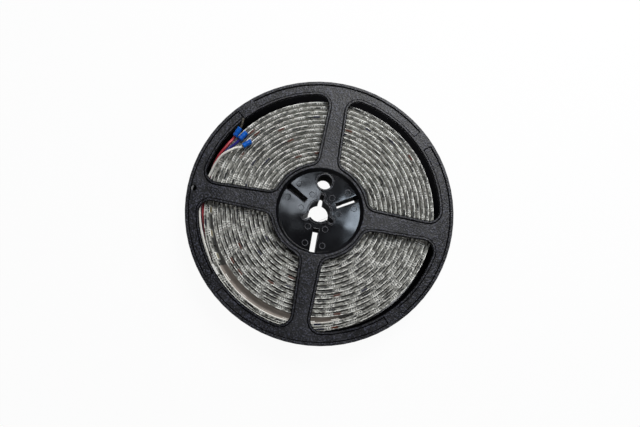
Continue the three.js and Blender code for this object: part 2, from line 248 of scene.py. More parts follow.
def apply_modifier(piece: Object, kind: str, **settings: object) -> None:
    """Adds a modifier with the given settings and applies it.

    Args:
        piece: The object.
        kind: The modifier's type.
        settings: Its properties.
    """
    pick(piece)
    modifier = piece.modifiers.new(kind.lower(), kind)
    for name, value in settings.items():
        setattr(modifier, name, value)
    bpy.ops.object.modifier_apply(modifier=modifier.name)


def reshape(piece: Object, move: Callable[[Array], Array]) -> None:
    """Moves every vertex of a piece by a function of an N by 3 array, in metres.

    Args:
        piece: The object.
        move: Takes the points and returns the moved ones.
    """
    count = len(piece.data.vertices)
    points = np.zeros(count * 3, np.float64)
    piece.data.vertices.foreach_get("co", points)
    piece.data.vertices.foreach_set("co", move(points.reshape(-1, 3)).astype(np.float32).ravel())
    piece.data.update()


def face_outwards(piece: Object) -> None:
    """Makes the faces of closed shells point outwards.

    Args:
        piece: The object.
    """
    mesh = bmesh.new()
    mesh.from_mesh(piece.data)
    bmesh.ops.recalc_face_normals(mesh, faces=mesh.faces)
    mesh.to_mesh(piece.data)
    mesh.free()


def smooth(piece: Object, degrees: float = 40) -> None:
    """Shades a piece smooth across edges flatter than an angle."""
    pick(piece)
    bpy.ops.object.shade_smooth_by_angle(angle=math.radians(degrees), keep_sharp_edges=True)


def settle(piece: Object, slot: str, *nodes: str) -> None:
    """Rides a finished piece on the reel, hides the CAD nodes that it replaces and logs its size.

    Args:
        piece: The finished object, placed in the reel's frame.
        slot: Not used.
        nodes: The CAD nodes that it replaces.
    """
    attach(piece, "root")
    if nodes:
        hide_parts(*nodes)
    kind = "vertices" if piece.type == "MESH" else "splines"
    log.info("%s: %d %s", piece.name, len(getattr(piece.data, kind)), kind)


def complete(piece: Object, material: Material, degrees: float, slot: str, *nodes: str) -> None:
    """Turns a closed piece's faces out, shades and paints it, and settles it.

    Args:
        piece: The modelled piece.
        material: Its only material.
        degrees: The angle up to which its edges are shaded smooth.
        slot: The record's material slot.
        nodes: The CAD nodes that it replaces.
    """
    face_outwards(piece)
    smooth(piece, degrees)
    paint(piece, material)
    settle(piece, slot, *nodes)


# --- finishes


def sockets(group: NodeTree, way: str, **named: tuple[str, object]) -> None:
    """Makes a node group's sockets from name=(kind, default).

    Args:
        group: The node group.
        way: "INPUT" or "OUTPUT".
        named: Each socket's kind and default, by name.
    """
    for name, (kind, default) in named.items():
        made = group.interface.new_socket(name=name, in_out=way, socket_type=f"NodeSocket{kind}")
        if default is not None:
            made.default_value = default


@dataclass(frozen=True)
class Nodes:
    """A short way to add and wire the nodes of one tree."""

    tree: NodeTree

    def add(self, kind: str, inputs: dict | None = None, **settings: object) -> Node:
        """Adds a node, sets it up and feeds its inputs.

        Args:
            kind: The node's type without "ShaderNode".
            inputs: Values or output sockets, by input name or number.
            settings: The node's own properties.

        Returns:
            The new node.
        """
        node = self.tree.nodes.new(kind if kind.startswith("Node") else f"ShaderNode{kind}")
        for name, value in settings.items():
            setattr(node, name, value)
        for key, value in (inputs or {}).items():
            self.feed(node, key, value)
        return node

    def feed(self, node: Node, key: str | int, value: object) -> None:
        """Links an output socket to an input, or sets the input's value.

        Args:
            node: The node.
            key: The input's name or number.
            value: The socket or value.
        """
        if isinstance(value, NodeSocket):
            self.tree.links.new(value, node.inputs[key])
        else:
            node.inputs[key].default_value = value

    def math(self, operation: str, *values: object) -> NodeSocket:
        """A Math node's result."""
        return self.add("Math", dict(enumerate(values)), operation=operation).outputs[0]

    def times(self, *factors: object) -> NodeSocket:
        """The product of some values."""
        return reduce(lambda first, second: self.math("MULTIPLY", first, second), factors)

    def plus(self, first: object, second: object) -> NodeSocket:
        """The sum of two values."""
        return self.math("ADD", first, second)

    def rest(self, value: object) -> NodeSocket:
        """What is left of one."""
        return self.math("SUBTRACT", 1.0, value)

    def split(self, vector: NodeSocket) -> list[NodeSocket]:
        """A vector's three parts."""
        return list(self.add("SeparateXYZ", {0: vector}).outputs)

    def noise(self, where: NodeSocket, scale: object, detail: float, **inputs: float) -> NodeSocket:
        """A noise texture's value."""
        return self.add("TexNoise", {"Vector": where, "Scale": scale, "Detail": detail, **inputs}).outputs[0]

    def distance(self, where: NodeSocket, point: Triple) -> NodeSocket:
        """How far a place is from a fixed point."""
        return self.add("VectorMath", {0: where, 1: point}, operation="DISTANCE").outputs["Value"]

    def ramp(self, value: NodeSocket, low: float, high: float) -> NodeSocket:
        """A value that rises smoothly from 0 at low to 1 at high."""
        node = self.add("MapRange", {0: value, 1: low, 2: high}, interpolation_type="SMOOTHSTEP", clamp=True)
        return node.outputs[0]

    def mix(self, share: object, first: object, second: object) -> NodeSocket:
        """A colour between two colours.

        Args:
            share: How much of the second.
            first: The colour at 0.
            second: The colour at 1.

        Returns:
            The mixed colour.
        """
        node = self.add("Mix", data_type="RGBA")
        for key, value in ((0, share), (6, first), (7, second)):
            self.feed(node, key, value)
        return node.outputs[2]


def rgb(red: int, green: int, blue: int) -> tuple[float, float, float, float]:
    """A linear colour from eight-bit screen values."""
    shares = [value / 255 for value in (red, green, blue)]
    return (*[share / 12.92 if share <= 0.04045 else ((share + 0.055) / 1.055) ** 2.4 for share in shares], 1.0)


def grain_group() -> NodeTree:
    """The fine pebble of a spark-eroded or cast surface: a height, and a mask of its peaks.

    Returns:
        The shared node group.
    """
    group = bpy.data.node_groups.get("moulded_grain")
    if group:
        return group
    group = bpy.data.node_groups.new("moulded_grain", "ShaderNodeTree")
    sockets(group, "INPUT", Vector=("Vector", None), Size=("Float", 0.5), Coarse=("Float", 0.35))
    sockets(group, "OUTPUT", Height=("Float", None), Peaks=("Float", None))
    nodes = Nodes(group)
    entry = nodes.add("NodeGroupInput")
    where = entry.outputs["Vector"]
    scale = nodes.math("DIVIDE", 1000.0, entry.outputs["Size"])
    fine = nodes.noise(where, scale, 2.0, Roughness=0.6)
    wide = nodes.noise(where, nodes.times(scale, 0.3), 1.0)
    leave = nodes.add("NodeGroupOutput")
    nodes.feed(leave, "Height", nodes.plus(fine, nodes.times(wide, entry.outputs["Coarse"])))
    nodes.feed(leave, "Peaks", nodes.ramp(fine, 0.5, 0.66))
    return group


def dust_group() -> NodeTree:
    """Pale handling dust: a mask of soft clouds and scattered specks.

    Returns:
        The shared node group.
    """
    group = bpy.data.node_groups.get("handling_dust")
    if group:
        return group
    group = bpy.data.node_groups.new("handling_dust", "ShaderNodeTree")
    sockets(group, "INPUT", Vector=("Vector", None), Clouds=("Float", 0.1), Specks=("Float", 0.3))
    sockets(group, "OUTPUT", Mask=("Float", None))
    nodes = Nodes(group)
    entry = nodes.add("NodeGroupInput")
    cloud = nodes.noise(entry.outputs["Vector"], 45.0, 3.0)
    speck = nodes.add("TexVoronoi", {"Vector": entry.outputs["Vector"], "Scale": 420.0})
    near = nodes.rest(nodes.ramp(speck.outputs["Distance"], 0.06, 0.13))
    rare = nodes.math("GREATER_THAN", nodes.add("SeparateColor", {0: speck.outputs["Color"]}).outputs[0], 0.8)
    dots = nodes.times(near, rare, entry.outputs["Specks"])
    haze = nodes.times(nodes.ramp(cloud, 0.45, 0.75), entry.outputs["Clouds"])
    nodes.feed(nodes.add("NodeGroupOutput"), "Mask", nodes.plus(dots, haze))
    return group


@dataclass(frozen=True)
class Finish:
    """A plain finish: one base colour, its mottling and grain, and a gloss.

    Attributes:
        name: The material's name.
        color: The colour of most of the surface.
        second: The colour that it mottles towards.
        roughness: The surface roughness.
        grain: The size of the grain in millimetres.
        bump: The depth of the grain in millimetres.
        mottle: The scale of the mottling, in cells per metre.
        coat: The weight of a clear coat.
        metallic: 1 for a metal.
        glow: How strongly the surface glows in its own colour, a painted light: it stands in for light that the clear
            gel or thin paper spreads, and it lifts the lights' housings and phosphor.
        specular: The shader's specular level.
    """

    name: str
    color: tuple
    second: tuple
    roughness: float = 0.5
    grain: float = 0.5
    bump: float = 0.02
    mottle: float = 60.0
    coat: float = 0.0
    metallic: float = 0.0
    glow: float = 0.0
    specular: float = 0.5

    def start(self) -> tuple[Material, Nodes, Node, NodeSocket]:
        """An empty material with its shader and object coordinates.

        Returns:
            The material, its nodes, its shader and the coordinates.
        """
        material = bpy.data.materials.new(self.name)
        material.use_nodes = True
        material.diffuse_color = self.color
        nodes = Nodes(material.node_tree)
        shader = material.node_tree.nodes["Principled BSDF"]
        constants = {"Metallic": self.metallic, "Coat Weight": self.coat, "Roughness": self.roughness,
                     "Specular IOR Level": self.specular}
        for name, value in constants.items():
            shader.inputs[name].default_value = value
        return material, nodes, shader, nodes.add("TexCoord").outputs["Object"]

    def place_grain(self, nodes: Nodes, where: NodeSocket) -> Node:
        """Adds the shared grain group with this finish's own size.

        Args:
            nodes: The material's nodes.
            where: The object coordinates.

        Returns:
            The group's node.
        """
        node = nodes.add("Group", node_tree=grain_group())
        nodes.feed(node, "Vector", where)
        node.inputs["Size"].default_value = self.grain
        return node

    def raise_grain(self, nodes: Nodes, shader: Node, height: NodeSocket) -> None:
        """Feeds a height through a Bump node to the shader."""
        bump = nodes.add("Bump", {"Height": height, "Distance": self.bump * MM, "Strength": 1.0})
        nodes.feed(shader, "Normal", bump.outputs[0])

    def color_in(self, nodes: Nodes, shader: Node, color: NodeSocket) -> None:
        """Feeds the base colour, and the same colour as the glow where there is any.

        Args:
            nodes: The material's nodes.
            shader: The material's shader.
            color: The colour.
        """
        nodes.feed(shader, "Base Color", color)
        if self.glow:
            nodes.feed(shader, "Emission Color", color)
            shader.inputs["Emission Strength"].default_value = self.glow

    def material(self) -> Material:
        """Builds the material.

        Returns:
            The material.
        """
        material, nodes, shader, where = self.start()
        share = nodes.ramp(nodes.noise(where, self.mottle, 3.0), 0.35, 0.65)
        self.color_in(nodes, shader, nodes.mix(share, self.color, self.second))
        nodes.feed(shader, "Roughness", nodes.plus(self.roughness - 0.05, nodes.times(share, 0.1)))
        self.raise_grain(nodes, shader, self.place_grain(nodes, where).outputs["Height"])
        return material


@dataclass(frozen=True)
class FlangePlastic(Finish):
    """Charcoal flanges with a spark-eroded texture and a polished black hub.

    Attributes:
        hub_color: The colour inside the hub.
        hub_radius: Where the polished hub ends, in metres.
        peak_share: How strongly the grain's peaks take the second colour.
        dust: The colour of handling dust on the flanges.
        hub_dust: The same on the hub.
    """

    hub_color: tuple = rgb(9, 9, 12)
    hub_radius: float = 0.0292
    peak_share: float = 0.55
    dust: tuple = rgb(120, 120, 126)
    hub_dust: tuple = rgb(120, 122, 128)

    def material(self) -> Material:
        """Builds the material.

        Returns:
            The material.
        """
        material, nodes, shader, where = self.start()
        across, along, _ = nodes.split(where)
        flat = nodes.add("CombineXYZ", {0: across, 1: along}).outputs[0]
        outside = nodes.ramp(nodes.distance(flat, (0, 0, 0)), self.hub_radius - 0.0004, self.hub_radius)
        grain = self.place_grain(nodes, where)
        dust = nodes.add("Group", {"Vector": where, "Clouds": 0.10, "Specks": 0.25}, node_tree=dust_group()).outputs[0]
        peaks = nodes.mix(nodes.times(grain.outputs["Peaks"], self.peak_share), self.color, self.second)
        textured = nodes.mix(dust, peaks, self.dust)
        hub = nodes.mix(nodes.times(dust, 0.35), self.hub_color, self.hub_dust)
        nodes.feed(shader, "Base Color", nodes.mix(outside, hub, textured))
        polished = nodes.plus(0.08, nodes.times(nodes.noise(where, 140.0, 2.0), 0.08))
        rough = nodes.plus(nodes.times(outside, self.roughness), nodes.times(nodes.rest(outside), polished))
        nodes.feed(shader, "Roughness", rough)
        sink = nodes.times(nodes.noise(where, 48.0, 1.0), nodes.math("SUBTRACT", 1.08, outside))
        self.raise_grain(nodes, shader, nodes.plus(nodes.times(grain.outputs["Height"], outside), sink))
        return material


@dataclass(frozen=True)
class StripBody(Finish):
    """The strip's cut edges and faces: a white board under a grey, cloudy silicone gel.

    Attributes:
        board: The white of the circuit board's edge.
        worn: The same where it is worn.
        board_depth: How deep the board's edge shows, in millimetres.
        housing: The white of the lights' housings under the gel.
        inner: The strip's inner face, towards the hub.
        tape: The painted shade along the middle of its outer face, where it lies deep between turns.
        shadow: The dark of leads and pads seen through the gel, and the painted shade of the open gaps between turns.
        copper: Bare copper at a few pads.
        ink: The blue-black of a few solder-mask patches.
        chip: The black of the resistors.
        lead_pitch: From one lead of a light to the next, in millimetres.
        middle: The height of the strip's middle, in metres.
        light_fade: The distances from a light's middle over which its look fades, in millimetres.
        outer_shade_fade: The distances from the strip's middle over which that painted shade ends, in metres.
        stretches: How many stretches that may carry a part there are to a light.
        chances: The random draws below which a stretch shows copper, ink or a resistor.
    """

    board: tuple = rgb(244, 244, 238)
    worn: tuple = rgb(128, 127, 121)
    board_depth: float = 0.45
    housing: tuple = rgb(222, 222, 216)
    inner: tuple = rgb(204, 204, 198)
    tape: tuple = rgb(58, 55, 51)
    shadow: tuple = rgb(18, 17, 18)
    copper: tuple = rgb(76, 34, 16)
    ink: tuple = rgb(24, 24, 44)
    chip: tuple = rgb(8, 8, 9)
    lead_pitch: float = 1.6
    middle: float = 0.0071
    light_fade: tuple = (2.4, 2.9)
    outer_shade_fade: tuple = (0.0036, 0.0044)
    stretches: float = 3.6
    chances: Triple = (0.018, 0.036, 0.066)

    def material(self) -> Material:
        """Builds the material, with the pattern on the strip's own UV map: along, and inward.

        Returns:
            The material.
        """
        material, nodes, shader, where = self.start()
        along, inward, _ = nodes.split(nodes.add("UVMap", uv_map="strip").outputs[0])
        offset = nodes.times(nodes.math("SUBTRACT", nodes.math("FRACT", along), 0.5), LIGHT_SPACING)
        at_light = nodes.rest(nodes.ramp(nodes.math("ABSOLUTE", offset), *self.light_fade))
        cloud = nodes.noise(where, 620.0, 3.0, Roughness=0.7)
        gel = nodes.mix(nodes.ramp(cloud, 0.38, 0.62), self.color, self.second)
        under = nodes.times(at_light, nodes.ramp(inward, 0.36, 0.5), 0.9)
        gel = nodes.mix(under, gel, self.light_inside(nodes, offset))
        dark = self.blots(nodes, where)
        gel = nodes.mix(nodes.times(dark, 0.85), gel, self.shadow)
        # painted shade: the gaps between two turns are painted dark on the gel
        gel = nodes.mix(self.gap_shade(nodes, along, inward, at_light), gel, self.shadow)
        gel = self.parts(nodes, gel, along, nodes.times(nodes.ramp(cloud, 0.3, 0.4), nodes.ramp(inward, 0.2, 0.26)))
        inner = nodes.mix(nodes.times(dark, 0.9), self.inner, self.shadow)
        gel = nodes.mix(nodes.ramp(inward, 0.95, 0.99), gel, inner)
        # the board's cut edge along the outside is a little deeper at the lights
        deep = nodes.plus(self.board_depth / STRIP_BODY, nodes.times(at_light, 0.06))
        edge = nodes.rest(nodes.ramp(nodes.math("SUBTRACT", inward, deep), -0.03, 0.03))
        self.color_in(nodes, shader, nodes.mix(edge, gel, self.outer_face(nodes, where)))
        nodes.feed(shader, "Roughness", nodes.plus(0.2, nodes.times(cloud, 0.3)))
        self.raise_grain(nodes, shader, cloud)
        return material

    def light_inside(self, nodes: Nodes, offset: NodeSocket) -> NodeSocket:
        """A light's white housing and its three dark leads, as the gel shows them.

        Args:
            nodes: The material's nodes.
            offset: The place from the light's middle along the strip, in millimetres.

        Returns:
            The colour.
        """
        wave = nodes.math("FRACT", nodes.math("DIVIDE", offset, self.lead_pitch))
        lead = nodes.rest(nodes.ramp(nodes.math("ABSOLUTE", nodes.math("SUBTRACT", wave, 0.5)), 0.24, 0.34))
        return nodes.mix(nodes.times(lead, 0.75), self.housing, self.shadow)

    def blots(self, nodes: Nodes, where: NodeSocket) -> NodeSocket:
        """A mask of the uneven dark blots that solder and bare pads make in the gel.

        Args:
            nodes: The material's nodes.
            where: The object coordinates.

        Returns:
            The mask.
        """
        cell = nodes.add("TexVoronoi", {"Vector": where, "Scale": 700.0})
        near = nodes.rest(nodes.ramp(cell.outputs["Distance"], 0.26, 0.42))
        chance = nodes.add("SeparateColor", {0: cell.outputs["Color"]}).outputs[1]
        return nodes.times(near, nodes.math("GREATER_THAN", chance, 0.74))

    def gap_shade(self, nodes: Nodes, along: NodeSocket, inward: NodeSocket, at_light: NodeSocket) -> NodeSocket:
        """A mask of painted shade for the dark gaps that stay open between two turns, faintest at the lights.

        Args:
            nodes: The material's nodes.
            along: The place along the strip, in lights.
            inward: The share of the body's thickness from outside.
            at_light: A mask of the lights.

        Returns:
            The mask.
        """
        run = nodes.add("CombineXYZ", {0: nodes.times(along, 2.6), 1: nodes.times(inward, 0.7)}).outputs[0]
        slit = nodes.times(nodes.ramp(nodes.noise(run, 1.0, 1.5), 0.53, 0.6), nodes.ramp(inward, 0.5, 0.62))
        return nodes.times(slit, nodes.math("SUBTRACT", 0.88, nodes.times(at_light, 0.5)))

    def parts(self, nodes: Nodes, gel: NodeSocket, along: NodeSocket, ragged: NodeSocket) -> NodeSocket:
        """Puts bare copper, dark ink and black resistors on a few stretches of the strip.

        Args:
            nodes: The material's nodes.
            gel: The colour so far.
            along: The place along the strip, in lights.
            ragged: The uneven share of each stretch that is covered.

        Returns:
            The colour with the parts on it.
        """
        stretch = nodes.math("FLOOR", nodes.times(along, self.stretches))
        draw = nodes.add("TexWhiteNoise", {"W": stretch}, noise_dimensions="1D").outputs[0]
        low = 0.0
        for high, ink in zip(self.chances, (self.copper, self.ink, self.chip)):
            picked = nodes.times(nodes.math("GREATER_THAN", draw, low), nodes.math("LESS_THAN", draw, high))
            gel = nodes.mix(nodes.times(picked, ragged, 0.96), gel, ink)
            low = high
        return gel

    def outer_face(self, nodes: Nodes, where: NodeSocket) -> NodeSocket:
        """The outer face: painted shade along its middle, which lies deep between turns, and the board's worn white at
        both edges.

        Args:
            nodes: The material's nodes.
            where: The object coordinates.

        Returns:
            The colour.
        """
        white = nodes.mix(nodes.ramp(nodes.noise(where, 330.0, 2.0), 0.42, 0.6), self.board, self.worn)
        from_middle = nodes.math("ABSOLUTE", nodes.math("SUBTRACT", nodes.split(where)[2], self.middle))
        # painted shade: the middle of the outer face is darkened, and the white board shows at both edges
        return nodes.mix(nodes.ramp(from_middle, *self.outer_shade_fade), self.tape, white)


@dataclass(frozen=True)
class LinerPaper(Finish):
    """Thin waxed paper, a little translucent, its glow a painted light, with white painted along its lit front edge as
    a highlight.

    Attributes:
        cut: The white painted highlight of the lit front edge.
        front: The height at which the edge begins, in metres.
    """

    cut: tuple = rgb(226, 224, 218)
    front: float = 0.0115

    def material(self) -> Material:
        """Builds the material.

        Returns:
            The material.
        """
        material, nodes, shader, where = self.start()
        cloud = nodes.noise(where, self.mottle, 2.0)
        paper = nodes.mix(nodes.ramp(cloud, 0.35, 0.65), self.color, self.second)
        # painted highlight: a white band along the front edge, where the paper is lit
        edge = nodes.ramp(nodes.split(where)[2], self.front - 0.0003, self.front)
        self.color_in(nodes, shader, nodes.mix(edge, paper, self.cut))
        nodes.feed(shader, "Roughness", nodes.plus(self.roughness, nodes.times(cloud, 0.15)))
        self.raise_grain(nodes, shader, cloud)
        return material


# painted shade: near-black lines laid where shade falls at the relief's feet and along the windows' lips
SHADE_LINES = Finish("relief_painted_shade", rgb(4, 4, 6), rgb(8, 8, 10), 0.95, bump=0.01, specular=0.1)
# painted highlight: the pale grey of the hub's lips stands in for the highlight along their edges
LIP_HIGHLIGHT = Finish("hub_lip_painted_highlight", rgb(112, 112, 118), rgb(52, 52, 56), 0.3, bump=0.01, mottle=160)
# painted shade: the flange's faces towards the strip and the tie holes' walls are painted near black because they lie
# in shade
INNER_SHADE = Finish("flange_inner_painted_shade", rgb(4, 4, 6), rgb(8, 8, 10), 0.9, bump=0.02, specular=0.05)
FLANGE = FlangePlastic("flange_charcoal", rgb(8, 8, 12), rgb(86, 88, 104), 0.43, grain=1.05, bump=0.42,
                       specular=0.34)
# painted light: the gel, the lights' housings and phosphor and the paper glow a little, though none of them is a lamp
GEL = StripBody("strip_gel_and_board", rgb(44, 44, 42), rgb(158, 158, 151), 0.4, bump=0.08, glow=0.03,
                specular=0.22)
HOUSING = Finish("light_housing_white", rgb(246, 246, 240), rgb(232, 232, 226), 0.35, bump=0.01, glow=0.16)
PHOSPHOR = Finish("light_phosphor_cream", rgb(230, 220, 186), rgb(220, 208, 168), 0.45, bump=0.02, glow=0.1)
LEADS = Finish("tinned_leads", rgb(70, 68, 66), rgb(44, 42, 42), 0.4, bump=0.02, metallic=0.4)
CHIP = Finish("resistor_black", rgb(22, 22, 24), rgb(34, 34, 36), 0.4, bump=0.02)
PAPER = LinerPaper("liner_waxed_paper", rgb(140, 131, 124), rgb(122, 115, 108), 0.5, bump=0.03, mottle=90, glow=0.3)
SHRINK = Finish("sleeve_clear_shrink", rgb(216, 216, 212), rgb(190, 190, 186), 0.3, bump=0.04, mottle=200)
NYLON = Finish("crimp_blue_nylon", rgb(0, 100, 205), rgb(0, 84, 182), 0.34, grain=0.25, mottle=240, coat=0.15)
TIN = Finish("pin_dull_tin", rgb(150, 144, 132), rgb(104, 98, 88), 0.42, grain=0.3, bump=0.03, mottle=400, metallic=1)
INSULATION = {
    Lead.RED: Finish("insulation_red", rgb(176, 52, 62), rgb(158, 42, 52), 0.38, bump=0.01, mottle=90),
    Lead.BLUE: Finish("insulation_blue", rgb(38, 36, 130), rgb(30, 28, 108), 0.38, bump=0.01, mottle=90),
    Lead.WHITE: Finish("insulation_white", rgb(228, 226, 220), rgb(214, 212, 204), 0.4, bump=0.01, mottle=90),
}


# --- camera and stage


@dataclass
class PhotoCamera:
    """The camera of the photograph: nearly square on to the reel's face, with the reel off centre.

    Attributes:
        height: From the front face to the lens, in millimetres.
        foot: From the reel's axis to the point under the lens, in millimetres.
        foot_angle: The direction of that point, in degrees.
        tilt: From straight down towards the reel, in degrees.
        tilt_angle: The direction that the lens leans away from, in degrees.
        up_angle: The direction that is up in the picture, in degrees.
        lens: The focal length in millimetres on a 36 mm sensor.
        shift: The lens shift across and up.
    """

    height: float = 250.0
    foot: float = 78.0
    foot_angle: float = 259.6
    tilt: float = 4.0
    tilt_angle: float = 269.06
    up_angle: float = 100.44
    lens: float = 21.708
    shift: tuple = (0.0578, 0.1271)

    def build(self) -> None:
        """Adds the camera and makes it the scene's own."""
        data = bpy.data.cameras.new("photo_camera")
        camera = bpy.data.objects.new("photo_camera", data)
        bpy.context.scene.collection.objects.link(camera)
        data.lens, data.sensor_width = self.lens, 36.0
        data.shift_x, data.shift_y = self.shift
        data.clip_start, data.clip_end = 0.01, 20.0
        lean = math.radians(self.tilt)
        look = heading(self.tilt_angle) * -math.sin(lean) - Vector((0, 0, math.cos(lean)))
        up = heading(self.up_angle)
        up = (up - look * up.dot(look)).normalized()
        turn = Matrix((look.cross(up), up, -look)).transposed()
        place = heading(self.foot_angle) * self.foot * MM + Vector((0, 0, FRONT_FACE + self.height * MM))
        camera.matrix_world = Matrix.Translation(place) @ turn.to_4x4()
        bpy.context.scene.camera = camera
        log.info("camera at %s", tuple(round(v, 4) for v in place))


@dataclass
class Studio:
    """The white sweep that the reel lies on, its softboxes and the plain world.

    Attributes:
        floor_size: The floor's width in metres.
        world_level: The world's strength for all but camera rays.
        shade_center: The middle of the shade that the windings cast on the floor, in metres.
        shade_radius: Its radius, up to where it begins to fade.
        hub_radius: The round under the hub, within that shade, where the floor glows white to the camera as painted
            light.
        dark_slot: The place in it under the start slot where that glow is left out, so that it stays in shade.
        dark_radius: How far the dark reaches round that place.
        lights: Each softbox's name, place and side in metres, watts and colour.
    """

    floor_size: float = 6.0
    world_level: float = 0.07
    shade_center: Triple = (0.0009, 0.0048, 0)
    shade_radius: float = 0.0936
    hub_radius: float = 0.031
    dark_slot: Triple = (-0.015, 0.0129, 0)
    dark_radius: float = 0.009
    lights: tuple = (
        ("key_softbox", (0.17, 0.5, 0.52), 0.4, 5.6, (1, 1, 1)),
        ("fill_softbox", (-0.5, -0.9, 1.3), 0.8, 1.6, (1, 1, 1)),
        ("window_glint_right", (0.125, 0.182, 0.6), 0.05, 0.16, (0.74, 0.86, 1.0)),
        ("window_glint_left", (-0.012, 0.202, 0.6), 0.05, 0.1, (0.82, 0.9, 1.0)))

    def floor(self) -> None:
        """Adds the pale floor: near white in the open with a soft shadow, in full shade under the windings, and with
        painted light under the hub.
        """
        deselect()
        bpy.ops.mesh.primitive_plane_add(size=self.floor_size, location=(0, 0, -0.0001))
        floor = bpy.context.object
        floor.name = floor.data.name = "floor"
        material = bpy.data.materials.new("floor_white")
        material.use_nodes = True
        nodes = Nodes(material.node_tree)
        shader = material.node_tree.nodes["Principled BSDF"]
        shader.inputs["Base Color"].default_value = (0.82, 0.82, 0.83, 1)
        shader.inputs["Roughness"].default_value = 0.9
        glow = nodes.add("Emission", {"Color": (1, 1, 1, 1), "Strength": 1.0})
        path = nodes.add("LightPath")
        camera = path.outputs["Is Camera Ray"]
        seen = nodes.math("MAXIMUM", camera, path.outputs["Is Glossy Ray"])
        where = nodes.add("TexCoord").outputs["Object"]
        edge = nodes.ramp(nodes.distance(where, self.shade_center), self.shade_radius, self.shade_radius + 0.0006)
        # painted light: under the hub the floor glows white to the camera, except at the dark slot
        painted_hub_light = nodes.math("LESS_THAN", nodes.distance(where, (0, 0, 0)), self.hub_radius)
        off_slot = nodes.math("GREATER_THAN", nodes.distance(where, self.dark_slot), self.dark_radius)
        glowing_floor = nodes.math("MAXIMUM", nodes.times(edge, seen), nodes.times(painted_hub_light, off_slot, camera))
        blend = nodes.add("MixShader", {0: nodes.times(glowing_floor, 0.95), 1: shader.outputs[0], 2: glow.outputs[0]})
        nodes.feed(material.node_tree.nodes["Material Output"], "Surface", blend.outputs[0])
        paint(floor, material)

    def world(self) -> None:
        """A plain grey world that the camera sees as white."""
        world = bpy.data.worlds.new("studio_world")
        bpy.context.scene.world = world
        world.use_nodes = True
        nodes = Nodes(world.node_tree)
        seen = nodes.times(nodes.add("LightPath").outputs["Is Camera Ray"], 1.0 - self.world_level)
        background = world.node_tree.nodes["Background"]
        nodes.feed(background, "Color", (1, 1, 1, 1))
        nodes.feed(background, "Strength", nodes.plus(self.world_level, seen))

    def softbox(self, name: str, place: Triple, size: float, watts: float, color: Triple) -> None:
        """Adds a square area light that faces the reel.

        Args:
            name: Its name.
            place: Its place in metres.
            size: Its side in metres.
            watts: Its power.
            color: Its colour.
        """
        data = bpy.data.lights.new(name, "AREA")
        data.shape, data.size, data.energy, data.color = "SQUARE", size, watts, color
        light = bpy.data.objects.new(name, data)
        bpy.context.scene.collection.objects.link(light)
        light.location = place
        light.rotation_euler = (-Vector(place)).to_track_quat("-Z", "Y").to_euler()

    def build(self) -> None:
        """Adds the floor, the world and the lights."""
        self.floor()
        self.world()
        for light in self.lights:
            self.softbox(*light)
        bpy.context.scene.view_settings.view_transform = "Standard"


# --- the leads


@dataclass
class LeadWires:
    """The three insulated leads and the crimped terminals on their ends.

    Attributes:
        wire: The outside diameter of the insulation, in millimetres.
        winding_top: The height of the strip's front edge, in millimetres.
        window_edge: The radius of the windows' outer edge, in millimetres.
        approach: The straight run before a crimp, in millimetres.
        inside: How far a wire goes into its crimp, in millimetres.
        crimps: Each crimp's direction as (angle, upward slope).
        routes: Each route as (angle, distance inside the windows' edge, height over the winding).
    """

    wire: float = 1.8
    winding_top: float = 12.1
    window_edge: float = 80.0
    approach: float = 2.0
    inside: float = 2.1
    crimps: dict = field(default_factory=lambda: {
        Lead.RED: (64, 0.28), Lead.BLUE: (57, 0.06), Lead.WHITE: (42, 0.02)})
    routes: dict = field(default_factory=lambda: ROUTES)

    def spot(self, angle: float, inset: float, height: float) -> Vector:
        """A route's point in millimetres."""
        return heading(angle) * (self.window_edge - inset) + Vector((0, 0, self.winding_top + height))

    def axis(self, lead: Lead) -> Vector:
        """The direction that a lead's crimp points in."""
        angle, slope = self.crimps[lead]
        return (heading(angle) + Vector((0, 0, slope))).normalized()

    def mouth(self, lead: Lead) -> Vector:
        """Where a lead enters its crimp, in millimetres."""
        return self.spot(*self.routes[lead][-1])

    def path(self, lead: Lead, count: int = 44) -> list[Vector]:
        """Points along a lead's centre line, in metres.

        Args:
            lead: Which lead.
            count: How many points.

        Returns:
            The points from the sleeve to the crimp.
        """
        points = [self.spot(*entry) for entry in self.routes[lead][:-1]]
        points += [self.mouth(lead) + self.axis(lead) * along for along in (-self.approach, 0, self.inside)]
        dense = through_points(points, 24)
        reach = np.concatenate([[0], np.cumsum(np.linalg.norm(np.diff(dense, axis=0), axis=1))])
        wanted = np.linspace(0, reach[-1], count)
        return [Vector([np.interp(w, reach, dense[:, k]) for k in range(3)]) * MM for w in wanted]

    def cord(self, lead: Lead) -> tuple[Object, list[Vector]]:
        """Builds one lead as a smooth tube along its route.

        Args:
            lead: Which lead.

        Returns:
            The tube, and its centre line's points in metres.
        """
        points = self.path(lead)
        data = bpy.data.curves.new(f"{lead.value}_lead", "CURVE")
        data.dimensions, data.bevel_depth, data.bevel_resolution = "3D", self.wire / 2 * MM, 3
        data.use_fill_caps = True
        spline = data.splines.new("POLY")
        spline.points.add(len(points) - 1)
        for spot, point in zip(spline.points, points):
            spot.co = (*point, 1)
        spline.use_smooth = True
        piece = bpy.data.objects.new(f"{lead.value}_lead", data)
        bpy.context.scene.collection.objects.link(piece)
        data.materials.append(INSULATION[lead].material())
        return piece, points

    def build(self) -> None:
        """Builds the leads and their terminals."""
        crimp = CrimpTerminal()
        nylon = NYLON.material()
        paint(frame["nodes"]["red_pin"], TIN.material())
        for lead in Lead:
            piece, points = self.cord(lead)
            settle(piece, f"{lead.value}_insulation", f"{lead.value}_wire")
            terminal = crimp.build(lead, self.mouth(lead) * MM, self.axis(lead), nylon)


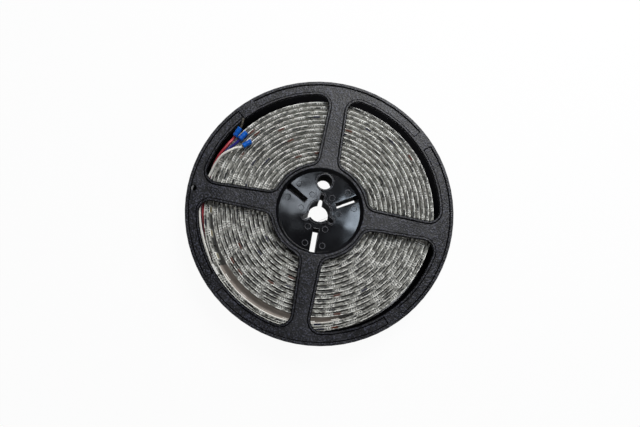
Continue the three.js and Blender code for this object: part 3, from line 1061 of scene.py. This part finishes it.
ROUTES = {
    Lead.RED: [
        (216.2, 1.7, -7.5), (208, 2.4, -6.9), (199, 2.2, -3.8), (190, 2, -2.1), (183, 1.7, -1.9), (176, 1.4, -2),
        (171.6, 2.3, -1.4), (166.4, 2.8, 0.5), (161.9, 3.25, 2.6), (157.5, 4.1, 3.5), (153.2, 4.3, 2.8),
        (148.4, 3.9, 2.1)],
    Lead.BLUE: [
        (216.2, 0.9, -5), (209, 0.3, -5.5), (200, 0.1, -5.8), (192, 0.2, -5.6), (184, 0.7, -5), (176, 1.4, -4.2),
        (171.6, 2.2, -3.6), (166.4, 2.6, -1.7), (161.9, 2.9, -0.1), (159.4, 3.9, 1.28), (156.4, 5.4, 1.38),
        (152.5, 6.9, 1.5), (148, 7.8, 2.1)],
    Lead.WHITE: [
        (216.2, 0.2, -2.5), (212, 0.6, -1.5), (206, 0.7, -0.5), (198, 0.4, 0), (190, 0.1, 0.2), (183, -0.2, 0.2),
        (176.5, 0.7, 0.3), (171.8, 2.7, 0.75), (166.4, 3.9, 2.9), (161.9, 5.3, 4.6), (158.9, 6.8, 4.9),
        (155.7, 8.7, 4.2), (152.4, 10.6, 3.1), (149.7, 12.6, 2.3)],
}


def through_points(points: Sequence[Vector], steps: int) -> Array:
    """A smooth centripetal curve through points.

    Args:
        points: The points that the curve passes through.
        steps: Samples for each stretch between two points.

    Returns:
        The samples as an N by 3 array.
    """
    first, last = points[0] * 2 - points[1], points[-1] * 2 - points[-2]
    row = [np.array(p) for p in (first, *points, last)]
    found = []
    for p0, p1, p2, p3 in zip(row, row[1:], row[2:], row[3:]):
        t1 = math.sqrt(np.linalg.norm(p1 - p0))
        t2 = t1 + math.sqrt(np.linalg.norm(p2 - p1))
        t3 = t2 + math.sqrt(np.linalg.norm(p3 - p2))
        for t in np.linspace(t1, t2, steps, endpoint=False):
            a1 = (t1 - t) / t1 * p0 + t / t1 * p1
            a2 = (t2 - t) / (t2 - t1) * p1 + (t - t1) / (t2 - t1) * p2
            a3 = (t3 - t) / (t3 - t2) * p2 + (t - t2) / (t3 - t2) * p3
            b1 = (t2 - t) / t2 * a1 + t / t2 * a2
            b2 = (t3 - t) / (t3 - t1) * a2 + (t - t1) / (t3 - t1) * a3
            found.append((t2 - t) / (t2 - t1) * b1 + (t - t1) / (t2 - t1) * b2)
    return np.array([*found, row[-2]])


@dataclass
class CrimpTerminal:
    """An insulated crimp collar: a flared entry, two pressed bands and a rounded nose.

    Attributes:
        radius: The collar's radius in millimetres.
        length: The collar's length in millimetres.
        sides: Facets round the collar.
        mouth: The radius of the opening at each end, in millimetres.
        recess: How deep each opening goes, in millimetres.
        rim: The rounding of both rims, in millimetres.
        rings: Where rings of vertices are cut round it, as shares of its length.
        bands: The rings that the crimping tool narrows, as (share, scale).
    """

    radius: float = 1.75
    length: float = 6.4
    sides: int = 28
    mouth: float = 1.15
    recess: float = 1.7
    rim: float = 0.28
    rings: tuple = (0.2, 0.3, 0.38, 0.48, 0.6, 0.7, 0.78, 0.88)
    bands: tuple = ((0.3, 0.93), (0.38, 0.93), (0.7, 0.94), (0.78, 0.94))

    def build(self, lead: Lead, place: Vector, along: Vector, nylon: Material) -> Object:
        """Models one collar along Z and stands it at its lead's end.

        Args:
            lead: The lead that it is crimped on.
            place: The mouth's centre, in metres.
            along: The collar's direction.
            nylon: Its material.

        Returns:
            The finished collar.
        """
        deselect()
        bpy.ops.mesh.primitive_cylinder_add(
            vertices=self.sides, radius=self.radius * MM, depth=self.length * MM,
            location=(0, 0, self.length * MM / 2), end_fill_type="NGON")
        collar = take(f"{lead.value}_terminal")
        with editing(collar):
            for share in self.rings:
                bpy.ops.mesh.select_all(action="SELECT")
                bpy.ops.mesh.bisect(plane_co=(0, 0, self.length * share * MM), plane_no=(0, 0, 1))
            choose(collar, "FACE", lambda face: abs(face.normal.z) > 0.9)
            bpy.ops.mesh.inset(thickness=(self.radius - self.mouth) * MM, use_individual=True)
            for sign in (1, -1):
                choose(collar, "FACE", lambda face: face.normal.z * sign > 0.9 and len(face.verts) > 4)
                bpy.ops.mesh.extrude_region_move(TRANSFORM_OT_translate={"value": (0, 0, -sign * self.recess * MM)})
            rims = choose(collar, "EDGE", lambda edge: all(
                min(abs(v.co.z), abs(v.co.z - self.length * MM)) < 1e-6
                and abs(v.co.xy.length - self.radius * MM) < 1e-5 for v in edge.verts))
            if rims:
                bpy.ops.mesh.bevel(offset=self.rim * MM, segments=3)

        def press(points: Array) -> Array:
            """Narrows the rings under the crimping tool.

            Args:
                points: The collar's points.

            Returns:
                The same points, moved.
            """
            for share, scale in self.bands:
                row = np.abs(points[:, 2] - self.length * share * MM) < 1e-5
                points[row, :2] *= scale
            return points

        reshape(collar, press)
        turn = along.to_track_quat("Z", "Y").to_matrix().to_4x4()
        collar.data.transform(Matrix.Translation(place) @ turn)
        complete(collar, nylon, 35, "crimp_blue", f"{lead.value}_crimp")
        return collar


# --- the wound strip


@dataclass
class Winding:
    """The strip's path: a tight spiral whose last turns have come loose.

    Attributes:
        outer_radius: The tight winding at the strip's outer end, in millimetres.
        inner_radius: The same over its first turn.
        pitch: From turn to turn.
        end_angle: The outer end's angle in degrees.
        seat: The height of the strip's rear edge.
        width: The strip's width.
        lift: How far the outer end rises.
        lift_span: The degrees over which it rises.
        roll_shift: How far the outermost turns sit off centre.
        roll_angle: The direction of that shift.
        loosening: Rows of degrees back from the outer end, front offset and rear offset.
    """

    outer_radius: float = 77.68
    inner_radius: float = 33.1
    pitch: float = 3.08
    end_angle: float = 219.0
    seat: float = 2.1
    width: float = 10.0
    lift: float = 0.65
    lift_span: float = 48.0
    roll_shift: float = 1.2
    roll_angle: float = 70.0
    loosening: tuple = (
        (-30, 5.2, 2.6), (0, 5.2, 2.6), (20, 5.3, 2.5), (38, 5.2, 2.3), (51, 4.1, 1.8), (62, 3.1, 1.2),
        (77, 1.8, 0.6), (92, 0.7, 0.2), (112, 0.15, 0), (140, 0, 0), (270, 0, 0), (300, 0.6, 0.3), (331, 2.6, 0.9),
        (351, 3.9, 1.8), (376, 5, 2.7), (396, 5.1, 2.8), (411, 3.9, 2), (422, 2.9, 1.5), (437, 1.5, 0.8),
        (452, 0.4, 0.1), (472, 0, 0))

    @property
    def sweep(self) -> float:
        """All the degrees that the strip goes round."""
        return (self.outer_radius - self.inner_radius) / self.pitch * 360

    def tight(self, back: Array) -> Array:
        """The tight winding's outer face, some degrees back from the outer end.

        Args:
            back: Degrees back from the outer end.

        Returns:
            Radii in millimetres.
        """
        radius = self.outer_radius - self.pitch * back / 360
        share = (radius - self.inner_radius) / (self.outer_radius - self.inner_radius)
        return radius + self.roll_shift * share * np.cos(np.radians(self.end_angle + back - self.roll_angle))

    def loose(self, back: Array, column: int) -> Array:
        """The offset of the front edge (column 1) or the rear edge (column 2).

        Args:
            back: Degrees back from the outer end.
            column: Which edge.

        Returns:
            Offsets in millimetres.
        """
        table = np.array(self.loosening, float)
        x, y = table[:, 0], table[:, column]
        slope = np.empty_like(y)
        slope[1:-1] = (y[2:] - y[:-2]) / (x[2:] - x[:-2])
        slope[0], slope[-1] = (y[1] - y[0]) / (x[1] - x[0]), (y[-1] - y[-2]) / (x[-1] - x[-2])
        back = np.clip(back, x[0], x[-1] - 1e-6)
        row = np.searchsorted(x, back, side="right") - 1
        span = x[row + 1] - x[row]
        t = (back - x[row]) / span
        bend = t * (1 - t) ** 2 * slope[row] + t * t * (t - 1) * slope[row + 1]
        return y[row] + (y[row + 1] - y[row]) * t * t * (3 - 2 * t) + bend * span

    def edges(self, back: Array) -> tuple[Array, Array]:
        """The outer face's radius at its front and rear edges."""
        tight = self.tight(back)
        return tight + self.loose(back, 1), tight + self.loose(back, 2)

    def around(self, back: Array, radius: Array, height: Array) -> Array:
        """Points some degrees back from the outer end, from millimetres to metres."""
        turn = np.radians(self.end_angle + back)
        return np.stack([radius * np.cos(turn), radius * np.sin(turn), height], 1) * MM

    def place(self, back: Array, across: Array, inward: Array) -> Array:
        """Points of the wound strip.

        Args:
            back: Degrees back from the outer end.
            across: Millimetres from the rear edge towards the front edge.
            inward: Millimetres from the outer face towards the hub.

        Returns:
            An N by 3 array in metres.
        """
        front, rear = self.edges(back)
        sine = (front - rear) / self.width
        cosine = np.sqrt(1 - sine * sine)
        radius = rear + across * sine - inward * cosine
        t = np.clip((self.lift_span - back) / self.lift_span, 0, 1)
        height = self.seat + self.lift * t * t * (3 - 2 * t) + across * cosine + inward * sine
        return self.around(back, radius, height)

    def lengths(self) -> tuple[Array, Array]:
        """Degrees back, and the strip's length from its outer end to there in millimetres.

        Returns:
            Two arrays of the same length.
        """
        back = np.linspace(0, self.sweep, 6000)
        middle = self.place(back, np.full_like(back, self.width / 2), np.full_like(back, 0.2)) / MM
        steps = np.linalg.norm(np.diff(middle, axis=0), axis=1)
        return back, np.concatenate([[0], np.cumsum(steps)])


@dataclass
class LightStrip:
    """The flexible strip: board and gel, the lights along its inner face, and its resistors.

    Attributes:
        winding: The path that it lies on.
        light: The side of a light's square housing.
        light_height: How far a light stands out of the gel.
        light_root: How deep it stands in the gel.
        corner: The bevel of its upright corners.
        frame: The width of the housing round its window.
        window: How deep the window is sunk.
        lead_reach: How far a lead stands out of the housing, and half its width.
        lead_height: How far it stands out of the gel.
        root: How deep the leads and resistors stand in the gel.
        chip_half: Half a resistor's length and width.
        chip_height: How far it stands out of the gel.
        cap: Half the length over its tinned ends, half their width, and how much lower they are.
        chips: The resistors' places on a group of three lights.
        cuts: Where a spacing is divided so that it bends, as shares.
        rounding: The rounding of the gel's inner edges.
    """

    winding: Winding = field(default_factory=Winding)
    light: float = 5.2
    light_height: float = 1.12
    light_root: float = 0.3
    corner: float = 0.3
    frame: float = 0.5
    window: float = 0.22
    lead_reach: float = 0.42
    lead_height: float = 0.62
    root: float = 0.1
    chip_half: tuple = (0.65, 0.62)
    chip_height: float = 0.5
    cap: Triple = (1.0, 0.6, 0.04)
    chips: tuple = ((15.2, 8.0), (18.2, 8.0), (31.6, 7.6), (34.6, 2.2), (48.6, 8.0), (17.0, 2.4))
    cuts: tuple = (0.2, 0.36, 0.5, 0.64, 0.8)
    rounding: float = 0.34

    def unit_body(self) -> Object:
        """One spacing of board and gel, straight, open at both ends.

        Returns:
            The unit.
        """
        unit = block("strip_body", (0, 0, 0), (LIGHT_SPACING, self.winding.width, STRIP_BODY))
        with editing(unit):
            for step in self.cuts:
                bpy.ops.mesh.select_all(action="SELECT")
                bpy.ops.mesh.bisect(plane_co=(LIGHT_SPACING * step * MM, 0, 0), plane_no=(1, 0, 0))
            choose(unit, "EDGE", lambda edge: all(v.co.z > (STRIP_BODY - 0.01) * MM for v in edge.verts) and all(
                min(v.co.y, self.winding.width * MM - v.co.y) < 1e-6 for v in edge.verts)
                and abs(edge.verts[0].co.y - edge.verts[1].co.y) < 1e-6)
            bpy.ops.mesh.bevel(offset=self.rounding * MM, segments=2)
            choose(unit, "FACE", lambda face: abs(face.normal.x) > 0.9)
            bpy.ops.mesh.delete(type="FACE")
        return unit

    def unit_light(self, housing: Material, phosphor: Material, leads: Material) -> Object:
        """One light: a white housing with a sunk phosphor window and three leads on each side.

        Args:
            housing: The housing's material.
            phosphor: The window's.
            leads: The leads'.

        Returns:
            The light, one piece.
        """
        low, high = STRIP_BODY - self.light_root, STRIP_BODY + self.light_height
        x0, y0 = (LIGHT_SPACING - self.light) / 2, (self.winding.width - self.light) / 2
        light = block("strip_light", (x0, y0, low), (x0 + self.light, y0 + self.light, high))
        with editing(light):
            choose(light, "EDGE", lambda edge: abs(edge.verts[0].co.z - edge.verts[1].co.z) > 1e-5)
            bpy.ops.mesh.bevel(offset=self.corner * MM, segments=1)
            choose(light, "FACE", lambda face: face.normal.z > 0.9)
            bpy.ops.mesh.inset(thickness=self.frame * MM)
            bpy.ops.mesh.extrude_region_move(TRANSFORM_OT_translate={"value": (0, 0, -self.window * MM)})
            choose(light, "FACE", lambda face: face.normal.z < -0.9)
            bpy.ops.mesh.delete(type="FACE")
        paint(light, housing)
        sunk = (high - self.window / 2) * MM
        paint(light, phosphor, lambda face: face.normal.z > 0.9 and face.center.z < sunk)
        pieces = [light]
        for row, edge in ((-1, y0), (1, y0 + self.light)):
            for column in (-1, 0, 1):
                x = LIGHT_SPACING / 2 + column * GEL.lead_pitch
                y = sorted((edge, edge + row * self.lead_reach))
                foot = block("lead", (x - self.lead_reach, y[0], STRIP_BODY - self.root),
                             (x + self.lead_reach, y[1], STRIP_BODY + self.lead_height))
                paint(foot, leads)
                pieces.append(foot)
        return join(pieces, "strip_lights")

    def unit_chips(self, chip: Material, tin: Material) -> Object:
        """The resistors of one group of three lights: black bodies with tinned ends.

        Args:
            chip: The bodies' material.
            tin: The ends'.

        Returns:
            The resistors, one piece.
        """
        pieces = []
        low, high = STRIP_BODY - self.root, STRIP_BODY + self.chip_height
        half_x, half_y = self.chip_half
        reach, side, lower = self.cap
        for x, y in self.chips:
            core = block("chip", (x - half_x, y - half_y, low), (x + half_x, y + half_y, high))
            with editing(core):
                choose(core, "EDGE", lambda edge: all(v.co.z > high * MM - 1e-6 for v in edge.verts))
                bpy.ops.mesh.bevel(offset=0.08 * MM, segments=1)
            paint(core, chip)
            pieces.append(core)
            for end in (-1, 1):
                cap = sorted((x + end * half_x, x + end * reach))
                tip = block("chip_end", (cap[0], y - side, low), (cap[1], y + side, high - lower))
                paint(tip, tin)
                pieces.append(tip)
        return join(pieces, "strip_resistors")

    def repeat(self, unit: Object, count: int, step: float) -> None:
        """Copies a straight unit along X and merges what meets."""
        apply_modifier(unit, "ARRAY", count=count, use_relative_offset=False, use_constant_offset=True,
                       constant_offset_displace=(step * MM, 0, 0), use_merge_vertices=True, merge_threshold=1e-6)

    def name_places(self, piece: Object) -> None:
        """Stores where each corner is on the straight strip: lights along, and depth inward.

        Args:
            piece: The object.
        """
        layer = piece.data.uv_layers.new(name="strip")
        points = np.zeros(len(piece.data.vertices) * 3)
        piece.data.vertices.foreach_get("co", points)
        points = points.reshape(-1, 3)
        corner = np.zeros(len(piece.data.loops), np.int32)
        piece.data.loops.foreach_get("vertex_index", corner)
        values = np.stack([points[corner, 0] / (LIGHT_SPACING * MM), points[corner, 2] / (STRIP_BODY * MM)], 1)
        layer.data.foreach_set("uv", values.astype(np.float32).ravel())

    def wind(self, piece: Object, scale: float, back: Array, reach: Array) -> None:
        """Winds a straight piece onto the spiral and turns its faces outwards.

        Args:
            piece: The object.
            scale: The spiral's length over the straight strip's.
            back: Degrees back from the outer end.
            reach: The strip's length to each of them, in millimetres.
        """
        def move(points: Array) -> Array:
            """The wound places of straight points."""
            along = points[:, 0] / MM * scale
            return self.winding.place(np.interp(along, reach, back), points[:, 1] / MM, points[:, 2] / MM)

        reshape(piece, move)
        face_outwards(piece)

    def build(self) -> None:
        """Models the straight strip unit by unit, then winds it."""
        back, reach = self.winding.lengths()
        count = int(reach[-1] / LIGHT_SPACING)
        scale = reach[-1] / (count * LIGHT_SPACING)
        body = self.unit_body()
        self.repeat(body, count, LIGHT_SPACING)
        with editing(body):
            bpy.ops.mesh.select_mode(type="EDGE")
            bpy.ops.mesh.select_non_manifold()
            bpy.ops.mesh.fill()
        self.name_places(body)
        lights = self.unit_light(HOUSING.material(), PHOSPHOR.material(), LEADS.material())
        self.repeat(lights, count, LIGHT_SPACING)
        chips = self.unit_chips(CHIP.material(), TIN.material())
        self.repeat(chips, count // 3, LIGHT_SPACING * 3)
        for piece in (body, lights, chips):
            self.wind(piece, scale, back, reach)
            smooth(piece, 35)
        paint(body, GEL.material())
        settle(body, "strip_gel", "led_strip")
        settle(lights, "strip_gel")
        settle(chips, "strip_gel")
        paint(frame["nodes"]["solder_sleeve"], SHRINK.material())
        log.info("strip is %.3f m long with %d lights", reach[-1] * MM, count)


@dataclass
class ReleaseLiner:
    """The loose backing paper that stands between two of the outer turns.

    Attributes:
        winding: The strip's path.
        start: Its clean cut end, in degrees back from the strip's outer end.
        sweep: The degrees that it covers.
        seat: Its distance from the turn behind it, in millimetres.
        lean: The share of the gap that its front edge bridges.
        thickness: Its thickness in millimetres.
        room: What the turn in front takes of the gap, in millimetres.
        bow: How far the sheet bows, in millimetres.
        share: Its width over the strip's.
        divisions: Its faces along and across.
    """

    winding: Winding = field(default_factory=Winding)
    start: float = 360.0
    sweep: float = 72.0
    seat: float = 0.5
    lean: float = 0.95
    thickness: float = 0.16
    room: float = 1.9
    bow: float = 0.12
    share: float = 0.99
    divisions: tuple = (72, 10)

    def build(self) -> None:
        """Bends a finely divided sheet to the gap and gives it its thickness."""
        deselect()
        columns, rows = self.divisions
        bpy.ops.mesh.primitive_grid_add(x_subdivisions=columns, y_subdivisions=rows, size=1, location=(0.5, 0.5, 0))
        sheet = take("backing_paper")

        def move(points: Array) -> Array:
            """Bends the flat sheet into its gap.

            Args:
                points: The sheet's points, from 0 to 1 both ways.

            Returns:
                Their places in metres.
            """
            back = self.start + points[:, 0] * self.sweep
            behind_front, behind_rear = self.winding.edges(back + 360)
            before_front, _ = self.winding.edges(back)
            gap = before_front - self.room - behind_front
            rear = behind_rear + self.seat
            front = np.maximum(behind_front + self.seat, behind_front + gap * self.lean)
            across = points[:, 1]
            bow = self.bow * np.sin(across * math.pi) * np.clip(gap - 1, 0, 2) * np.sin(points[:, 0] * 9 + 1)
            radius = rear + (front - rear) * across + bow
            height = self.winding.seat + self.winding.width * across * self.share
            return self.winding.around(back, radius, height)

        reshape(sheet, move)
        apply_modifier(sheet, "SOLIDIFY", thickness=self.thickness * MM, offset=0.0)
        complete(sheet, PAPER.material(), 35, "liner_paper", "release_liner")


# --- the half mouldings


@dataclass
class HalfMoulding:
    """One half of the reel, with the small radius of a moulding on every edge.

    Attributes:
        side: Which half.
        edge: The width of the rounded edges, in millimetres.
        line: Half the width of the painted shade line at the foot of each raised part, in millimetres.
        lip: The same of the painted shade line along each window's inner lip.
        hub_lip: The same of the lip round each opening in the hub.
        face: The height of the front flange's flat outer face, in millimetres.
        strip_room: The heights between which a face looks towards the strip.
        hub: The radius outside which it does.
        tie_hole: The tie hole's place along X, and a little more than its radius.
        hub_floor: The heights between which the hub's floor and boss lie, on the front half.
        hub_mouth: The radius within which the hub's openings lie.
        lip_sink: How far the line along a window's lip lies under the reel's outer face.
    """

    side: Side
    edge: float = 0.14
    line: float = 0.72
    lip: float = 0.3
    hub_lip: float = 0.17
    face: float = 15.1
    strip_room: tuple = (1.5, 14.1)
    hub: float = 31.0
    tie_hole: tuple = (84.7, 2.4)
    hub_floor: tuple = (13.1, 13.7)
    hub_mouth: float = 26.0
    lip_sink: float = 0.32

    def build(self, plastic: Material, shade_line: Material, inner: Material, worn: Material) -> None:
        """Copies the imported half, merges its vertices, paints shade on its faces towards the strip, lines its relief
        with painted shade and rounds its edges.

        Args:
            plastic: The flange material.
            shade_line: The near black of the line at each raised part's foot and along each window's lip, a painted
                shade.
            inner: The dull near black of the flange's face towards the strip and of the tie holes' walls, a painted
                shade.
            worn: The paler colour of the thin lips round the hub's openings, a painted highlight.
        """
        node = frame["nodes"][self.side.value]
        deselect()
        piece = node.copy()
        piece.data = node.data.copy()
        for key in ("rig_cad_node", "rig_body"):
            if key in piece:
                del piece[key]
        piece.parent = None
        piece.name = piece.data.name = f"{self.side.label}_moulding"
        bpy.context.scene.collection.objects.link(piece)
        piece.data.materials.clear()
        with editing(piece):
            bpy.ops.mesh.select_all(action="SELECT")
            bpy.ops.mesh.remove_doubles(threshold=2e-6)
        paint(piece, plastic)

        def faces_strip(face: MeshPolygon) -> bool:
            """Whether a face looks towards the strip or into a tie hole.

            Args:
                face: A polygon of the moulding.

            Returns:
                True if it does.
            """
            center, (place, reach), (low, high) = face.center / MM, self.tie_hole, self.strip_room
            in_tie_hole = abs(abs(center.x) - place) < reach and abs(center.y) < reach and abs(face.normal.z) < 0.3
            return in_tie_hole or (low < center.z < high and center.xy.length > self.hub)

        # painted shade on the faces towards the strip and inside the tie holes
        paint(piece, inner, faces_strip)
        self.line_relief(piece, shade_line)
        self.line_hub(piece, worn)
        apply_modifier(piece, "BEVEL", width=self.edge * MM, segments=2, limit_method="ANGLE",
                       angle_limit=math.radians(32), use_clamp_overlap=False)
        smooth(piece, 50)
        apply_modifier(piece, "WEIGHTED_NORMAL", keep_sharp=True, weight=80)
        settle(piece, "flange_plastic", self.side.value)

    def line_relief(self, piece: Object, shade_line: Material) -> None:
        """Lays painted shade lines along the foot of every raised part and along the windows' inner lips, where shade
        falls.

        Args:
            piece: The moulding.
            shade_line: The lines' material, a painted shade.
        """
        outward = self.side.outward
        level, top = self.side.level(self.face) * MM, self.side.level(REEL_WIDTH) * MM

        def lies(face: BMFace, height: float) -> bool:
            """Whether a face looks outwards at a height."""
            return face.normal.z * outward > 0.95 and abs(face.calc_center_median().z - height) < 1e-5

        def wall(face: BMFace, raised: bool) -> bool:
            """Whether a face stands up from the outer face, or drops below it."""
            rise = [(v.co.z - level) * outward for v in face.verts]
            return abs(face.normal.z) < 0.3 and (max(rise) > 1e-4 if raised else min(rise) < -1e-4)

        def foot(edge: BMEdge) -> bool:
            """Whether a raised part meets the outer face at an edge."""
            return any(lies(f, level) for f in edge.link_faces) and any(wall(f, True) for f in edge.link_faces)

        def lip(edge: BMEdge) -> bool:
            """Whether an edge runs along a window's inner lip."""
            return any(lies(f, top) for f in edge.link_faces) and any(wall(f, False) for f in edge.link_faces)

        sunk = top - self.lip_sink * outward * MM
        lines = [self.tube(piece, foot, self.line, level, 0.25), self.tube(piece, lip, self.lip, sunk, 0.6)]
        joined = join([line for line in lines if line], f"{self.side.label}_relief_shade_lines")
        complete(joined, shade_line, 60, "flange_plastic")

    def line_hub(self, piece: Object, worn: Material) -> None:
        """Lays a thin pale lip round every opening and ejector mark in the hub's floor and boss, its paleness a
        painted highlight.

        Args:
            piece: The moulding.
            worn: The lips' material, a painted highlight.
        """
        low, high = self.hub_floor

        def on_floor(face: BMFace) -> bool:
            """Whether a face belongs to the hub's floor or boss."""
            height = self.side.level(face.calc_center_median().z / MM)
            return face.normal.z * self.side.outward > 0.9 and low < height < high

        def lip(edge: BMEdge) -> bool:
            """Whether an edge runs round an opening in the hub."""
            return (any(on_floor(f) for f in edge.link_faces) and any(abs(f.normal.z) < 0.3 for f in edge.link_faces)
                    and all(v.co.xy.length < self.hub_mouth * MM for v in edge.verts))

        lips = self.tube(piece, lip, self.hub_lip, 0.0, 1.0)
        if lips is not None:
            lips.name = lips.data.name = f"{self.side.label}_hub_lips"
            complete(lips, worn, 60, "flange_plastic")

    def tube(self, piece: Object, test: Callable[[object], bool], radius: float, level: float,
             squash: float) -> Object | None:
        """Draws a flattened tube along the edges of a piece that pass a test.

        Args:
            piece: The moulding.
            test: Picks the edges.
            radius: Half the line's width in millimetres.
            level: The height that the tube is flattened towards, in metres.
            squash: The share of its height that is left.

        Returns:
            The tube, or None where no edge passes.
        """
        with editing(piece):
            found = choose(piece, "EDGE", test)
            if found:
                bpy.ops.mesh.duplicate()
                bpy.ops.mesh.separate(type="SELECTED")
        log.info("%s: %d edges lined", piece.name, found)
        if not found:
            return None
        line = next(o for o in bpy.context.selected_objects if o is not piece)
        pick(line)
        bpy.ops.object.convert(target="CURVE")
        line.data.bevel_depth, line.data.bevel_resolution = radius * MM, 2
        bpy.ops.object.convert(target="MESH")
        line.data.materials.clear()
        reshape(line, lambda points: points * (1, 1, squash) + np.array([0, 0, level * (1 - squash)]))
        return line


def main() -> None:
    """Builds the camera and the leads first, then the reel, the strip and the studio."""
    logging.basicConfig(level=logging.INFO, format="%(name)s: %(message)s")
    PhotoCamera().build()
    LeadWires().build()
    plastic = FLANGE.material()
    linings = [finish.material() for finish in (SHADE_LINES, INNER_SHADE, LIP_HIGHLIGHT)]
    for side in Side:
        HalfMoulding(side).build(plastic, *linings)
    LightStrip().build()
    ReleaseLiner().build()
    Studio().build()


if __name__ == "__main__":
    main()
